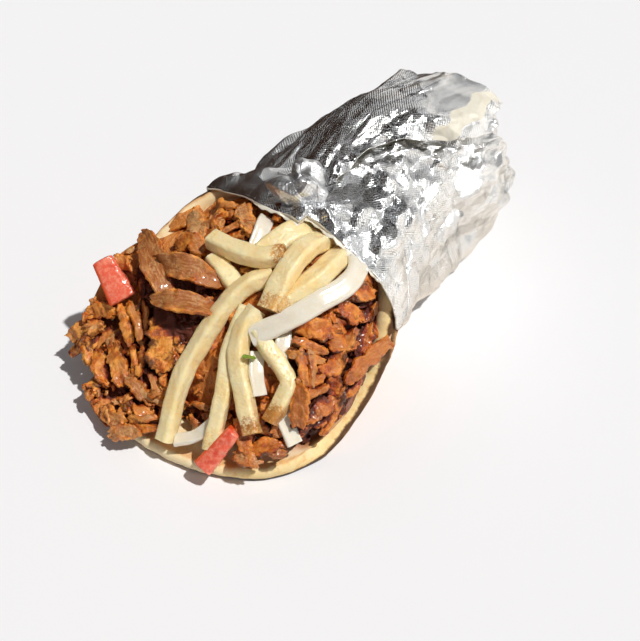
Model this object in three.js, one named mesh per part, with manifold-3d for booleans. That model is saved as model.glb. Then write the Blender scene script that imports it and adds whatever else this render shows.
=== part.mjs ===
// A doner kebab sandwich: a thick round flatbread rolled round shaved meat, fries, onion and tomato,
// and wrapped at its closed end in paper-lined foil. It lies on its side with the open mouth towards -Y.
//
// Units are millimetres and +Z is up. The roll is first built in its own frame, whose Y axis runs along
// the roll and whose Z = 0 is the surface it lies on. The last lines move it so that the origin is at
// the centre of the bottom of its bounding box.
import * as THREE from "three";
import { ImprovedNoise } from "three/addons/math/ImprovedNoise.js";
import { mergeVertices } from "three/addons/utils/BufferGeometryUtils.js";
import Module from "manifold-3d";

const wasm = await Module();
wasm.setup();

// ---------------------------------------------------------------- driving dimensions

const BREAD = 6.5; // thickness of the flatbread
const FOIL = 0.9; // thickness of the foil with its paper lining and fine creases
const GAP = 0.4; // clearance between neighbouring pieces
const BREAD_TAIL_Y = 85; // where the rolled bread ends inside the foil
const FOIL_TAIL_Y = 95; // where the crushed end of the foil ends
const DOME = 24; // length over which the closed end rounds off
const DOME_BLUNTNESS = 0.5; // smaller is blunter
const FILLING_SHORT = 9; // how far the filling stops short of the bread's closed end
const CREASE = 3.2; // height of the foil's large creases
const FLAP = 0.9; // thickness of the loose outer layer of the foil
const LUMP = 2.6; // height of the filling's lumps
const SPILL = 12; // how far the filling hangs out over the left side of the mouth
const LIP = 0.035; // share of the bread's length that stays bare at the front of the mouth

const FRY = 7.4; // side of a fry's square section
const ONION_WIDTH = 8; // width of an onion strip
const ONION_THICKNESS = 2.8; // thickness of an onion strip

// The distance from the outside of the foil to the middle of the bread.
const MIDDLE = FOIL + GAP + BREAD / 2;
const IN_BREAD = BREAD / 2; // the bread's faces lie this far from its middle surface
const FOIL_INSIDE = IN_BREAD + GAP;
const FILLING_GAP = 1; // clearance between the filling and the inside of the bread

// How finely each piece is faceted: columns go round the roll, rows along it.
const BREAD_MESH = [40, 18];
const FOIL_MESH = [40, 26];
const FILLING_MESH = [32, 22];
const FLAP_MESH = [8, 11];

// ---------------------------------------------------------------- small maths

const noise = new ImprovedNoise();
const radians = THREE.MathUtils.degToRad;
const degreesOf = THREE.MathUtils.radToDeg;
const mix = THREE.MathUtils.lerp;

// 0 before a, 1 after b, smooth between.
const ramp = (a, b, x) => THREE.MathUtils.smoothstep(x, a, b);

// 1 near the middle, falling smoothly to 0 at a distance from it.
const bump = (middle, reach, x) => 1 - ramp(reach * 0.4, reach, Math.abs(x - middle));

// ---------------------------------------------------------------- the roll's surface

const rollCentre = (y) => -8 * ramp(-20, 35, y) + 5 * ramp(40, 80, y);
const rollHalfWidth = (y) => 47 - 7.5 * ramp(-20, 35, y) + ramp(55, 85, y);
const rollHeight = (y) => 68 + 4 * ramp(-10, 40, y) - 6 * ramp(50, 92, y);
const SINK = 1.4; // how much of the round section is pressed flat at the bottom

// A point of the bread's middle surface before the mouth is spread. The angle round the roll is 0 at
// the bottom, 90 degrees at +X and 180 degrees at the top.
function rollPoint(angle, y) {
  const halfWidth = rollHalfWidth(y) - MIDDLE;
  const halfHeight = rollHeight(y) / 2 - MIDDLE;
  const z = MIDDLE - SINK + halfHeight * (1 - Math.cos(angle));
  return new THREE.Vector3(rollCentre(y) + halfWidth * Math.sin(angle), y, Math.max(MIDDLE, z));
}

// The middle of the bread's rim: it lies on the table at the front and stands up at both sides.
// Each entry is the angle round the roll in degrees, then x, y and z.
const RIM = [
  [-180, -3, 6, 65],
  [-126, -43, -15, 54],
  [-104, -51, -35, 46],
  [-86, -53, -60, 33],
  [-62, -49, -81, 15],
  [-34, -32, -95, 4.5],
  [0, -4, -99, 3.5],
  [26, 20, -93, 3.5],
  [46, 39, -79, 3.5],
  [59, 47, -63, 5],
  [70, 48, -46, 9.5],
  [80, 47, -31, 17],
  [94, 44, -17, 29],
  [122, 35, -5, 50],
];

const rimCurve = new THREE.CatmullRomCurve3(
  RIM.map(([, x, y, z]) => new THREE.Vector3(x, y, z)),
  true,
);

// The rim's point at an angle round the roll.
function rimPoint(angle) {
  const degrees = THREE.MathUtils.euclideanModulo(degreesOf(angle) + 180, 360) - 180;
  const next = RIM.findIndex(([start]) => start > degrees);
  const after = next < 0 ? RIM.length : next;
  const low = RIM[after - 1][0];
  const high = after < RIM.length ? RIM[after][0] : 180;
  return rimCurve.getPoint((after - 1 + (degrees - low) / (high - low)) / RIM.length);
}

const SPREAD_LENGTH = 40; // length over which the spread mouth turns into the round roll

// A point of the bread's middle surface at an angle round the roll and a place along it.
function middlePoint(angle, y) {
  const rim = rimPoint(angle);
  const point = rollPoint(angle, y);
  const join = Math.max(-12, rim.y + 12);
  const spread = 1 - ramp(rim.y, Math.min(join, rim.y + SPREAD_LENGTH), y);
  const unspread = rollPoint(angle, rim.y);
  point.x += spread * (rim.x - unspread.x);
  point.z += spread * (rim.z - unspread.z);
  return point;
}

// The closed end of a sleeve: turn runs from 0, where the dome starts, to 1 at its tip.
function domePoint(angle, turn, tailY) {
  const y = mix(tailY - DOME, tailY, Math.sin((turn * Math.PI) / 2));
  const scale = Math.pow(Math.cos((turn * Math.PI) / 2), DOME_BLUNTNESS);
  const heart = new THREE.Vector3(rollCentre(y), y, rollHeight(y) * 0.4);
  return heart.lerp(middlePoint(angle, y), turn < 1 ? scale : 0);
}

// A sleeve is open at one edge and closed at its tail. It is a function of the angle and of how far
// along it the point is, from 0 at the edge to 1 at the tail.
const STRAIGHT = 0.62;
function sleeve(edgeY, tailY) {
  return (angle, along) => {
    if (along < STRAIGHT) {
      return middlePoint(angle, mix(edgeY(angle), tailY - DOME, along / STRAIGHT));
    }
    return domePoint(angle, Math.min((along - STRAIGHT) / (1 - STRAIGHT), 1), tailY);
  };
}

// The outward normal of a sleeve, from small steps in both directions.
function normalOf(surface, angle, along) {
  const step = 0.004;
  const a = Math.min(Math.max(along, step), 1 - 2 * step);
  const round = surface(angle + step, a).sub(surface(angle - step, a));
  const down = surface(angle, a + step).sub(surface(angle, a - step));
  return down.cross(round).normalize();
}

// A point at a distance from a sleeve's surface: positive is outwards.
function offsetPoint(surface, angle, along, distance) {
  const point = surface(angle, along);
  if (along >= 1) return point.setY(point.y + distance);
  return point.addScaledVector(normalOf(surface, angle, along), distance);
}

// ---------------------------------------------------------------- meshes and solids

// A closed mesh with the topology of a sphere. shape(angle, v) gives the place of each vertex, and v
// runs from 0 at one pole to 1 at the other.
function shapedSphere(mesh, shape) {
  const geometry = new THREE.SphereGeometry(1, ...mesh);
  const { position, uv } = geometry.attributes;
  for (let i = 0; i < position.count; i++) {
    const v = 1 - uv.getY(i);
    const atPole = v < 1e-6 || v > 1 - 1e-6;
    const angle = atPole ? 0 : ((uv.getX(i) % 1) - 0.5) * 2 * Math.PI;
    position.setXYZ(i, ...shape(angle, v).toArray());
  }
  return geometry;
}

// Merges a geometry's shared vertices and returns it as a solid that faces outwards.
function solidOf(geometry) {
  const bare = geometry.clone();
  bare.deleteAttribute("normal");
  bare.deleteAttribute("uv");
  const merged = mergeVertices(bare, 1e-3);
  const vertProperties = merged.attributes.position.array;
  const triVerts = new Uint32Array(merged.index.array);
  const solid = new wasm.Manifold(new wasm.Mesh({ numProp: 3, vertProperties, triVerts }));
  if (solid.volume() > 0) return solid;
  triVerts.reverse();
  return new wasm.Manifold(new wasm.Mesh({ numProp: 3, vertProperties, triVerts }));
}

function geometryOf(solid) {
  const mesh = solid.getMesh();
  const geometry = new THREE.BufferGeometry();
  geometry.setAttribute("position", new THREE.BufferAttribute(mesh.vertProperties, mesh.numProp));
  geometry.setIndex(new THREE.BufferAttribute(mesh.triVerts, 1));
  geometry.computeVertexNormals();
  return geometry;
}

// Cuts a solid by others and keeps its largest piece.
function cutBy(solid, others) {
  const left = others.reduce((rest, other) => rest.subtract(other), solid);
  const larger = (best, piece) => (piece.volume() > best.volume() ? piece : best);
  return left.decompose().reduce(larger);
}

// A wall between two distances from a sleeve, with a round edge. v runs from the inner pole over the
// edge to the outer pole.
const EDGE = 0.1; // share of the rows that make the round edge
function wall(surface, inside, outside) {
  return (angle, v) => {
    const fromEdge = Math.abs(v - 0.5) * 2;
    if (fromEdge > EDGE) {
      const along = (fromEdge - EDGE) / (1 - EDGE);
      return offsetPoint(surface, angle, along, v < 0.5 ? inside : outside);
    }
    const turn = (fromEdge / EDGE) * (Math.PI / 2) * Math.sign(v - 0.5);
    const half = (outside - inside) / 2;
    const outwards = surface(angle, 0).sub(surface(angle, 0.01)).normalize();
    return surface(angle, 0)
      .addScaledVector(normalOf(surface, angle, 0), inside + half + half * Math.sin(turn))
      .addScaledVector(outwards, half * Math.cos(turn));
  };
}

// ---------------------------------------------------------------- bread

const breadSurface = sleeve((angle) => rimPoint(angle).y, BREAD_TAIL_Y);

const breadSolid = (grow) =>
  solidOf(shapedSphere(BREAD_MESH, wall(breadSurface, -IN_BREAD - grow, IN_BREAD + grow)));

// ---------------------------------------------------------------- foil

// The foil's front edge reaches further forward at the left and the right of the mouth than at its top.
function foilEdge(angle) {
  const degrees = degreesOf(angle);
  return -9 - 9 * ramp(80, 125, -degrees) + 5 * ramp(25, 70, degrees) - 9 * ramp(75, 105, degrees);
}

const foilSurface = sleeve(foilEdge, BREAD_TAIL_Y + 2);

// Creases stand outwards only, and fade out where the roll lies on the table.
function creaseHeight({ x, y, z }) {
  const large = Math.abs(noise.noise(x / 15, y / 19, z / 15));
  const small = 0.6 * Math.abs(noise.noise(x / 7 + 5, y / 8, z / 7));
  return CREASE * (large + small) * ramp(2, 14, z);
}

function foilShell() {
  const outside = FOIL_INSIDE + FOIL;
  const shell = wall(foilSurface, FOIL_INSIDE, outside);
  const spare = FOIL_TAIL_Y - BREAD_TAIL_Y - 2 - outside;
  const shape = (angle, v) => {
    const point = shell(angle, v);
    const along = (v * 2 - 1 - EDGE) / (1 - EDGE);
    if (along <= 0) return point;
    if (along < 1) {
      point.addScaledVector(normalOf(foilSurface, angle, along), creaseHeight(point));
    }
    // The spare foil past the bread's end is crushed into a solid lump.
    const crushed = ramp(STRAIGHT + 0.08, 0.92, along);
    point.y += spare * crushed * (1 + 0.5 * noise.noise(point.x / 9, 4, point.z / 9));
    return point;
  };
  return solidOf(shapedSphere(FOIL_MESH, shape));
}

// The last turn of the foil comes up over the left side, and its free edge runs along the top and
// lifts towards the tail. s runs from where it leaves the roll to the free edge, t along the roll.
const FLAP_START_Y = -5;
const FLAP_END_Y = [82, 97]; // at the left side and at the free edge
const FLAP_ROOT = -115; // the angle at the left side
function flapPoint(s, t) {
  const y = mix(FLAP_START_Y, mix(...FLAP_END_Y, s), t);
  const freeEdge = -183 - 9 * ramp(0, 0.4, t) - 14 * ramp(0.4, 1, t);
  const angle = radians(mix(FLAP_ROOT, freeEdge, s));
  const bulge = (1 + 2.2 * ramp(0, 0.3, t)) * Math.sin(s * Math.PI * 0.6);
  const lift = bulge + 8 * s * s * ramp(0.35, 0.8, t);
  const droop = 9 * s * ramp(0.78, 1, t);
  const radial = new THREE.Vector3(Math.sin(angle), 0, -Math.cos(angle));
  const point = rollPoint(angle, y).addScaledVector(radial, FOIL_INSIDE + FOIL / 2 + lift);
  return point.setZ(point.z - droop);
}

function flapSolid() {
  const box = new THREE.BoxGeometry(1, 1, FLAP, ...FLAP_MESH);
  const { position } = box.attributes;
  const step = 0.01;
  for (let i = 0; i < position.count; i++) {
    const s = position.getX(i) + 0.5;
    const t = position.getY(i) + 0.5;
    const across = flapPoint(s + step, t).sub(flapPoint(s - step, t));
    const down = flapPoint(s, t + step).sub(flapPoint(s, t - step));
    const point = flapPoint(s, t).addScaledVector(across.cross(down).normalize(), position.getZ(i));
    position.setXYZ(i, ...point.toArray());
  }
  return solidOf(box);
}

// A knot of crumpled foil that stands up at the edge of the mouth.
const KNOT_CENTRE = new THREE.Vector3(-11, -5, 69);
const KNOT_SIZE = new THREE.Vector3(6.5, 5, 6.5);

function knotSolid() {
  const geometry = new THREE.IcosahedronGeometry(1, 1);
  const { position } = geometry.attributes;
  for (let i = 0; i < position.count; i++) {
    const point = new THREE.Vector3().fromBufferAttribute(position, i);
    const r = 1 + 0.5 * noise.noise(point.x * 2.1 + 1, point.y * 2.1, point.z * 2.1);
    point.multiply(KNOT_SIZE).multiplyScalar(r).add(KNOT_CENTRE);
    position.setXYZ(i, ...point.toArray());
  }
  return solidOf(geometry);
}

// ---------------------------------------------------------------- filling

// The height of the heaped filling in the mouth, without its lumps.
function heapHeight(x, y) {
  const climb = Math.sin((THREE.MathUtils.clamp((y + 98) / 88, 0, 1) * Math.PI) / 2);
  const right = Math.max(x, 0) / 50;
  const left = Math.max(-x, 0) / 50;
  return (8 + 56 * Math.pow(climb, 0.9)) * (1 - 0.55 * Math.pow(right, 2.4) - 0.22 * left * left);
}

const HEAP_CENTRE = new THREE.Vector3(0, -42, 0);
const HEAP_TOP = 0.5; // share of the rows on top of the heap
const HEAP_EDGE = 0.6; // and the share by which its edge has turned in under it

function fillingPoint(angle, v) {
  const degrees = degreesOf(angle);
  const bare = 0.02 + LIP * ramp(-70, -20, degrees) * (1 - ramp(80, 110, degrees));
  const inside = -IN_BREAD - FILLING_GAP;
  const edge = offsetPoint(breadSurface, angle, bare, inside);
  if (v > HEAP_EDGE) {
    const along = mix(bare, 1, (v - HEAP_EDGE) / (1 - HEAP_EDGE));
    const point = offsetPoint(breadSurface, angle, along, inside);
    return point.setY(point.y - FILLING_SHORT * ramp(0.4, 1, along));
  }
  // The heap's outline: the edge inside the bread, or out over the rim in the two places on its left
  // where the filling spills.
  const spilled = Math.max(bump(-30, 24, degrees), bump(-74, 34, degrees));
  const rim = rimPoint(angle);
  const outwards = rim.clone().sub(HEAP_CENTRE).setZ(0).normalize();
  const outline = edge.clone().lerp(rim, spilled).addScaledVector(outwards, spilled * SPILL);
  outline.z += spilled * 3;
  if (v > HEAP_TOP) {
    const low = outline.clone().setZ(outline.z - 4 * spilled);
    return low.lerp(edge, (v - HEAP_TOP) / (HEAP_EDGE - HEAP_TOP));
  }
  const q = Math.pow(v / HEAP_TOP, 0.75);
  const x = mix(HEAP_CENTRE.x, outline.x, q);
  const y = mix(HEAP_CENTRE.y, outline.y, q);
  const lump = noise.noise(x / 9, y / 9, 3.7) + 0.5 * noise.noise(x / 4.5, y / 4.5, 8.2);
  const top = Math.max(heapHeight(x, y) + LUMP * lump, outline.z + 1);
  return new THREE.Vector3(x, y, mix(outline.z, top, 1 - Math.pow(q, 8)));
}

const fillingSolid = () => solidOf(shapedSphere(FILLING_MESH, fillingPoint));

// ---------------------------------------------------------------- fries, onion and tomato

// A strip of rectangular section with cut corners, swept along a smooth path.
function sweptStrip(path, width, thickness, corner, steps) {
  const w = width / 2;
  const t = thickness / 2;
  const section = new THREE.Shape();
  section.moveTo(corner - t, -w);
  section.lineTo(t - corner, -w);
  if (corner > 0) section.lineTo(t, corner - w);
  section.lineTo(t, w - corner);
  if (corner > 0) section.lineTo(t - corner, w);
  section.lineTo(corner - t, w);
  if (corner > 0) section.lineTo(-t, w - corner);
  section.lineTo(-t, corner - w);
  const extrudePath = new THREE.CatmullRomCurve3(path.map((point) => new THREE.Vector3(...point)));
  return solidOf(new THREE.ExtrudeGeometry(section, { steps, extrudePath }));
}

// The middle line of each fry, from its upper end to its lower end.
const FRIES = {
  fry_1: [[6, -36, 60], [-3, -49, 57], [-7, -66, 47], [-5, -82, 31], [2, -98, 13]],
  fry_2: [[8, -52, 50], [10, -66, 42], [15, -80, 30], [21, -94, 15]],
  fry_3: [[13, -47, 54], [12, -60, 48], [16, -70, 40], [27, -77, 30], [34, -82, 22]],
  fry_4: [[15, -56, 49], [22, -63, 43], [31, -65, 38], [35, -71, 31], [34, -78, 25]],
  fry_5: [[3, -12, 63], [1, -22, 65], [-1, -34, 62]],
  fry_6: [[-26, -38, 59], [-12, -38, 62], [5, -33, 64]],
  fry_7: [[8, -12, 63], [8, -28, 65], [12, -49, 57]],
  fry_8: [[18, -8, 61], [19, -23, 63], [17, -44, 57]],
  fry_9: [[-24, -38, 57], [-15, -47, 56], [-3, -54, 52]],
};

// The middle line of each strip of onion.
const ONIONS = {
  onion_1: [[20, -14, 58], [28, -16, 57], [28, -28, 56], [23, -46, 52], [14, -58, 46]],
  onion_2: [[-14, -20, 62], [-11, -26, 63], [-8, -34, 60]],
  onion_3: [[21, -50, 48], [25, -55, 45], [27, -61, 40]],
  onion_4: [[17, -63, 40], [22, -68, 37], [31, -73, 29]],
  onion_5: [[34, -68, 30], [39, -71, 26], [45, -73, 20]],
  onion_6: [[5, -97, 12], [12, -92, 16], [17, -84, 23]],
};

// Two cut pieces of tomato, from their lower end to their upper end. Their curved face looks this way.
const TOMATO_FACING = [0.42, -0.5, 0.75];
const TOMATOES = {
  tomato_1: { width: 13, height: 7, from: [-50, -69, 29], to: [-62, -66, 43] },
  tomato_2: { width: 9, height: 6, from: [20, -98, 9], to: [25, -84, 23] },
};

function tomatoSolid(width, height, from, to) {
  const along = new THREE.Vector3(...to).sub(new THREE.Vector3(...from));
  const length = along.length();
  const outline = new THREE.Shape();
  outline.moveTo(-width / 2, -height / 2);
  outline.lineTo(width / 2, -height / 2);
  outline.lineTo(width * 0.42, height * 0.3);
  outline.quadraticCurveTo(0, height * 0.7, -width * 0.42, height * 0.3);
  const options = { depth: length, steps: 1, curveSegments: 4, bevelEnabled: false };
  const geometry = new THREE.ExtrudeGeometry(outline, options);
  const across = new THREE.Vector3(...TOMATO_FACING).cross(along).normalize();
  const up = along.clone().cross(across).normalize();
  const place = new THREE.Matrix4().makeBasis(across, up, along.normalize());
  return solidOf(geometry.applyMatrix4(place.setPosition(...from)));
}

// The toppings from the uppermost down. Each is cut by those before it.
const TOPPINGS = [
  "tomato_1",
  "fry_6",
  "fry_1",
  "onion_1",
  "fry_7",
  "fry_8",
  "fry_3",
  "fry_5",
  "fry_2",
  "fry_4",
  "fry_9",
  "onion_2",
  "onion_3",
  "onion_4",
  "onion_5",
  "onion_6",
  "tomato_2",
];

// A topping's solid. Grown by the clearance it is the room that the topping needs.
function toppingSolid(name, grow) {
  const corner = grow ? 0 : 1;
  if (name in FRIES) {
    const path = FRIES[name];
    return sweptStrip(path, FRY + 2 * grow, FRY + 2 * grow, 1.6 * corner, path.length + 2);
  }
  if (name in ONIONS) {
    const thickness = ONION_THICKNESS + 2 * grow;
    return sweptStrip(ONIONS[name], ONION_WIDTH + 2 * grow, thickness, 0.8 * corner, 6);
  }
  const { width, height, from, to } = TOMATOES[name];
  return tomatoSolid(width + 2 * grow, height + 2 * grow, from, to);
}

// ---------------------------------------------------------------- materials

const material = (color, roughness, metalness = 0) =>
  new THREE.MeshStandardMaterial({ color, roughness, metalness });

const BREAD_FINISH = material(0xe9c07a, 0.8);
const FOIL_FINISH = material(0xc9cacc, 0.25, 1);
const MEAT_FINISH = material(0x9a5526, 0.55);
const FRY_FINISH = material(0xe6cc85, 0.45);
const ONION_FINISH = material(0xe4dfce, 0.3);
const TOMATO_FINISH = material(0xd8432c, 0.3);

function toppingFinish(name) {
  if (name in FRIES) return FRY_FINISH;
  return name in ONIONS ? ONION_FINISH : TOMATO_FINISH;
}

// ---------------------------------------------------------------- assembly

const roll = new THREE.Group();

function addPiece(name, solid, finish) {
  const mesh = new THREE.Mesh(geometryOf(solid), finish);
  mesh.name = name;
  roll.add(mesh);
}

const bread = breadSolid(0);
const foil = cutBy(foilShell().add(flapSolid()).add(knotSolid()), [bread]);
const room = [bread, breadSolid(GAP), foil];
addPiece("flatbread", bread, BREAD_FINISH);
addPiece("foil_wrap", foil, FOIL_FINISH);
for (const name of TOPPINGS) {
  addPiece(name, cutBy(toppingSolid(name, 0), room), toppingFinish(name));
  room.push(toppingSolid(name, GAP));
}
addPiece("meat_filling", cutBy(fillingSolid(), room), MEAT_FINISH);

// The origin goes to the centre of the bottom of the whole sandwich.
const bounds = new THREE.Box3().setFromObject(roll);
const middle = bounds.getCenter(new THREE.Vector3());
roll.position.set(-middle.x, -middle.y, -bounds.min.z);

const sandwich = new THREE.Group();
sandwich.add(roll);

export default sandwich;
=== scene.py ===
"""A doner kebab sandwich, wrapped at its closed end in paper-lined foil.

Lengths in the shape functions are millimetres in the roll's own frame: Y runs along the roll, its open
mouth is towards -Y, and Z = 0 is the surface that it lies on. An angle round the roll is 0 at the
bottom, 90 degrees at +X and 180 degrees at the top.
"""

import itertools

import bpy
import numpy as np
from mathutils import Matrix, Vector
from mathutils.bvhtree import BVHTree


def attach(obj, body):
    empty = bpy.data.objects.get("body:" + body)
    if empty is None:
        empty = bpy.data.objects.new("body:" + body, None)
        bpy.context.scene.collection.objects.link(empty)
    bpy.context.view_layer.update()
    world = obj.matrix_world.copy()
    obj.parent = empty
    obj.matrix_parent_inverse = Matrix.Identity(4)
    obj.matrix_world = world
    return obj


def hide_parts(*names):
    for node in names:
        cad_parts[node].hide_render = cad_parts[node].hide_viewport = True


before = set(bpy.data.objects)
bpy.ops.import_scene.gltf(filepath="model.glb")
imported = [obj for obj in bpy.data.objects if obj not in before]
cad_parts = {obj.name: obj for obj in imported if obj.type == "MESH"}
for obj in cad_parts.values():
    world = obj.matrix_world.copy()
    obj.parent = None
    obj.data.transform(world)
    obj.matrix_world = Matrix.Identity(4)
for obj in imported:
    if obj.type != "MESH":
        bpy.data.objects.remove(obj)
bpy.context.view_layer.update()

bl_info = {
    "name": "Doner kebab sandwich",
    "version": (1, 0, 0),
    "blender": (4, 5, 0),
    "location": "View3D > Sidebar > Kebab",
    "description": "Builds the flatbread, foil, meat, fries, onion and tomato of a doner kebab sandwich",
    "category": "Object",
}

MM = 0.001
ROLL_TO_OBJECT = np.array([8.154, 5.838, 0.0])  # from the roll's frame to the object's


# ---------------------------------------------------------------- numbers and noise


def ramp(start, end, x):
    """0 before the start, 1 after the end, smooth between."""
    t = np.clip((x - start) / (end - start), 0, 1)
    return t * t * (3 - 2 * t)


def mix(a, b, t):
    return a + (b - a) * t


def bump(middle, reach, x):
    """1 near the middle, falling smoothly to 0 at a distance from it."""
    return 1 - ramp(reach * 0.4, reach, np.abs(x - middle))


def unit(vectors):
    length = np.linalg.norm(vectors, axis=-1, keepdims=True)
    return vectors / np.maximum(length, 1e-9)


def hashed(cells, seed):
    """A repeatable random number from 0 to 1 for each row of whole numbers."""
    h = np.full(cells.shape[:-1], seed * 7919 + 17, np.uint32)
    for axis in range(cells.shape[-1]):
        h = (h ^ cells[..., axis].astype(np.int64).astype(np.uint32)) * np.uint32(0x9E3779B1)
        h = (h ^ (h >> np.uint32(15))) * np.uint32(0x85EBCA6B)
        h = h ^ (h >> np.uint32(13))
    return h / 2**32


def noise(points, size, seed=0):
    """Smooth noise from about -1 to 1. The size of its swells may differ from axis to axis."""
    p = np.asarray(points, float) / size
    base = np.floor(p)
    inside = p - base
    ease = inside**3 * (inside * (inside * 6 - 15) + 10)
    total = np.zeros(p.shape[:-1])
    for corner in itertools.product((0.0, 1.0), repeat=p.shape[-1]):
        corner = np.array(corner)
        slope = np.stack([hashed(base + corner, seed + 7 * k) for k in range(p.shape[-1])], -1)
        weight = np.prod(np.where(corner > 0, ease, 1 - ease), -1)
        total += weight * np.sum((slope * 2 - 1) * (inside - corner), -1)
    return total * 1.6


def facets(u, v, size, seed, slope=0.4):
    """Heights of flat tilted facets of about the given size, which meet in sharp creases."""
    p = np.stack([u / size[0], v / size[1]], -1)
    cell = np.floor(p)
    best = np.full(u.shape, -1e9)
    for step in itertools.product((-1, 0, 1), repeat=2):
        home = cell + step
        jitter = np.stack([hashed(home, seed), hashed(home, seed + 1)], -1) - 0.5
        away = p - (home + 0.5 + 0.7 * jitter)
        tilt = (np.stack([hashed(home, seed + 2), hashed(home, seed + 3)], -1) - 0.5) * 2 * slope
        reach = np.sum(away * away, -1)
        height = np.sum(away * tilt, -1) - 0.2 * reach * reach + 0.16 * hashed(home, seed + 4)
        best = np.maximum(best, height)
    return best * min(size)


def crumple(u, v, size, seed, slope=0.4):
    """Sharp ridges and valleys round flat facets."""
    return facets(u, v, size, seed, slope) - facets(u + 3.7, v + 5.1, size, seed + 50, slope)


def spline(points, places):
    """Points of a smooth open curve through the given ones, at places from 0 to 1 along it."""
    p = np.asarray(points, float)
    p = np.vstack([2 * p[0] - p[1], p, 2 * p[-1] - p[-2]])
    at = np.clip(places, 0, 1) * (len(p) - 3)
    i = np.minimum(at.astype(int), len(p) - 4)
    t = (at - i)[:, None]
    a, b, c, d = p[i], p[i + 1], p[i + 2], p[i + 3]
    return 0.5 * (
        2 * b + (c - a) * t + (2 * a - 5 * b + 4 * c - d) * t**2 + (3 * b - a - 3 * c + d) * t**3
    )


# ---------------------------------------------------------------- the roll's surface

BREAD = 6.5
FOIL = 0.9
GAP = 0.4
BREAD_TAIL_Y = 85
FOIL_TAIL_Y = 95
DOME = 24
DOME_BLUNTNESS = 0.5
MIDDLE = FOIL + GAP + BREAD / 2  # from the outside of the foil to the middle of the bread
FOIL_INSIDE = BREAD / 2 + GAP  # from the middle of the bread to the inside of the foil
SINK = 1.4
SPREAD_LENGTH = 40
STRAIGHT = 0.62

# The middle of the bread's rim: the angle round the roll in degrees, then x, y and z.
RIM = np.array(
    [
        [-180, -3, 6, 65],
        [-126, -43, -15, 54],
        [-104, -51, -35, 46],
        [-86, -53, -60, 33],
        [-62, -49, -81, 15],
        [-34, -32, -95, 4.5],
        [0, -4, -99, 3.5],
        [26, 20, -93, 3.5],
        [46, 39, -79, 3.5],
        [59, 47, -63, 5],
        [70, 48, -46, 9.5],
        [80, 47, -31, 17],
        [94, 44, -17, 29],
        [122, 35, -5, 50],
    ]
)


def roll_centre(y):
    return -8 * ramp(-20, 35, y) + 5 * ramp(40, 80, y)


def roll_point(angle, y):
    """The bread's middle surface before its mouth is spread."""
    half_width = 47 - 7.5 * ramp(-20, 35, y) + ramp(55, 85, y) - MIDDLE
    half_height = (68 + 4 * ramp(-10, 40, y) - 6 * ramp(50, 92, y)) / 2 - MIDDLE
    z = MIDDLE - SINK + half_height * (1 - np.cos(angle))
    return np.stack([roll_centre(y) + half_width * np.sin(angle), y, np.maximum(MIDDLE, z)], -1)


def signed_degrees(angle):
    """The angle round the roll in degrees, between -180 and 180, which both lie at its top."""
    return (np.degrees(angle) + 180) % 360 - 180


def rim_point(angle):
    """The bread's rim, on a smooth closed curve through its points."""
    degrees = signed_degrees(angle)
    i = np.searchsorted(RIM[:, 0], degrees, side="right") - 1
    high = np.where(i + 1 < len(RIM), RIM[(i + 1) % len(RIM), 0], 180)
    t = ((degrees - RIM[i, 0]) / (high - RIM[i, 0]))[..., None]
    a, b, c, d = (RIM[(i + k) % len(RIM), 1:] for k in (-1, 0, 1, 2))
    ab, bc, cd = (
        np.sqrt(np.linalg.norm(q - p, axis=-1, keepdims=True)) for p, q in ((a, b), (b, c), (c, d))
    )
    leave = ((b - a) / ab - (c - a) / (ab + bc) + (c - b) / bc) * bc
    arrive = ((c - b) / bc - (d - b) / (bc + cd) + (d - c) / cd) * bc
    return (
        b
        + leave * t
        + (3 * (c - b) - 2 * leave - arrive) * t**2
        + (leave + arrive - 2 * (c - b)) * t**3
    )


def middle_point(angle, y):
    """The bread's middle surface."""
    rim = rim_point(angle)
    point = roll_point(angle, y)
    join = np.maximum(-12, rim[..., 1] + 12)
    spread = 1 - ramp(rim[..., 1], np.minimum(join, rim[..., 1] + SPREAD_LENGTH), y)
    offset = spread[..., None] * (rim - roll_point(angle, rim[..., 1]))
    offset[..., 1] = 0
    return point + offset


def sleeve(edge_y, tail_y):
    """A surface that is open at one edge and closed at its tail, as a function of angle and along."""

    def surface(angle, along):
        angle, along = np.broadcast_arrays(angle, along)
        straight_y = mix(edge_y(angle), tail_y - DOME, np.minimum(along / STRAIGHT, 1))
        turn = np.clip((along - STRAIGHT) / (1 - STRAIGHT), 0, 1)
        y = np.where(turn > 0, mix(tail_y - DOME, tail_y, np.sin(turn * np.pi / 2)), straight_y)
        scale = np.maximum(np.cos(turn * np.pi / 2), 0) ** DOME_BLUNTNESS * (turn < 1)
        height = 68 + 4 * ramp(-10, 40, y) - 6 * ramp(50, 92, y)
        heart = np.stack([roll_centre(y), y, height * 0.4], -1)
        return heart + (middle_point(angle, y) - heart) * scale[..., None]

    return surface


def normal_of(surface, angle, along):
    """The outward normal of a sleeve."""
    step = 0.004
    a = np.clip(along, step, 1 - 2 * step)
    round_ = surface(angle + step, a) - surface(angle - step, a)
    down = surface(angle, a + step) - surface(angle, a - step)
    return unit(np.cross(down, round_))


def offset_point(surface, angle, along, distance):
    """A point at a distance from a sleeve: positive is outwards."""
    angle, along, distance = np.broadcast_arrays(angle, along, distance)
    normal = normal_of(surface, angle, along)
    normal[along >= 1] = (0, 1, 0)
    return surface(angle, along) + normal * distance[..., None]


# ---------------------------------------------------------------- meshes


def grid_faces(rows, columns, closed):
    """Faces of a grid of vertices whose rows may close on themselves, as (row, column) numbers."""
    r, c = np.meshgrid(np.arange(rows - 1), np.arange(columns - (not closed)), indexing="ij")
    r, c = r.ravel(), c.ravel()
    return np.stack([[r, c], [r, c + 1], [r + 1, c + 1], [r + 1, c]]).transpose(2, 0, 1)


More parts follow.
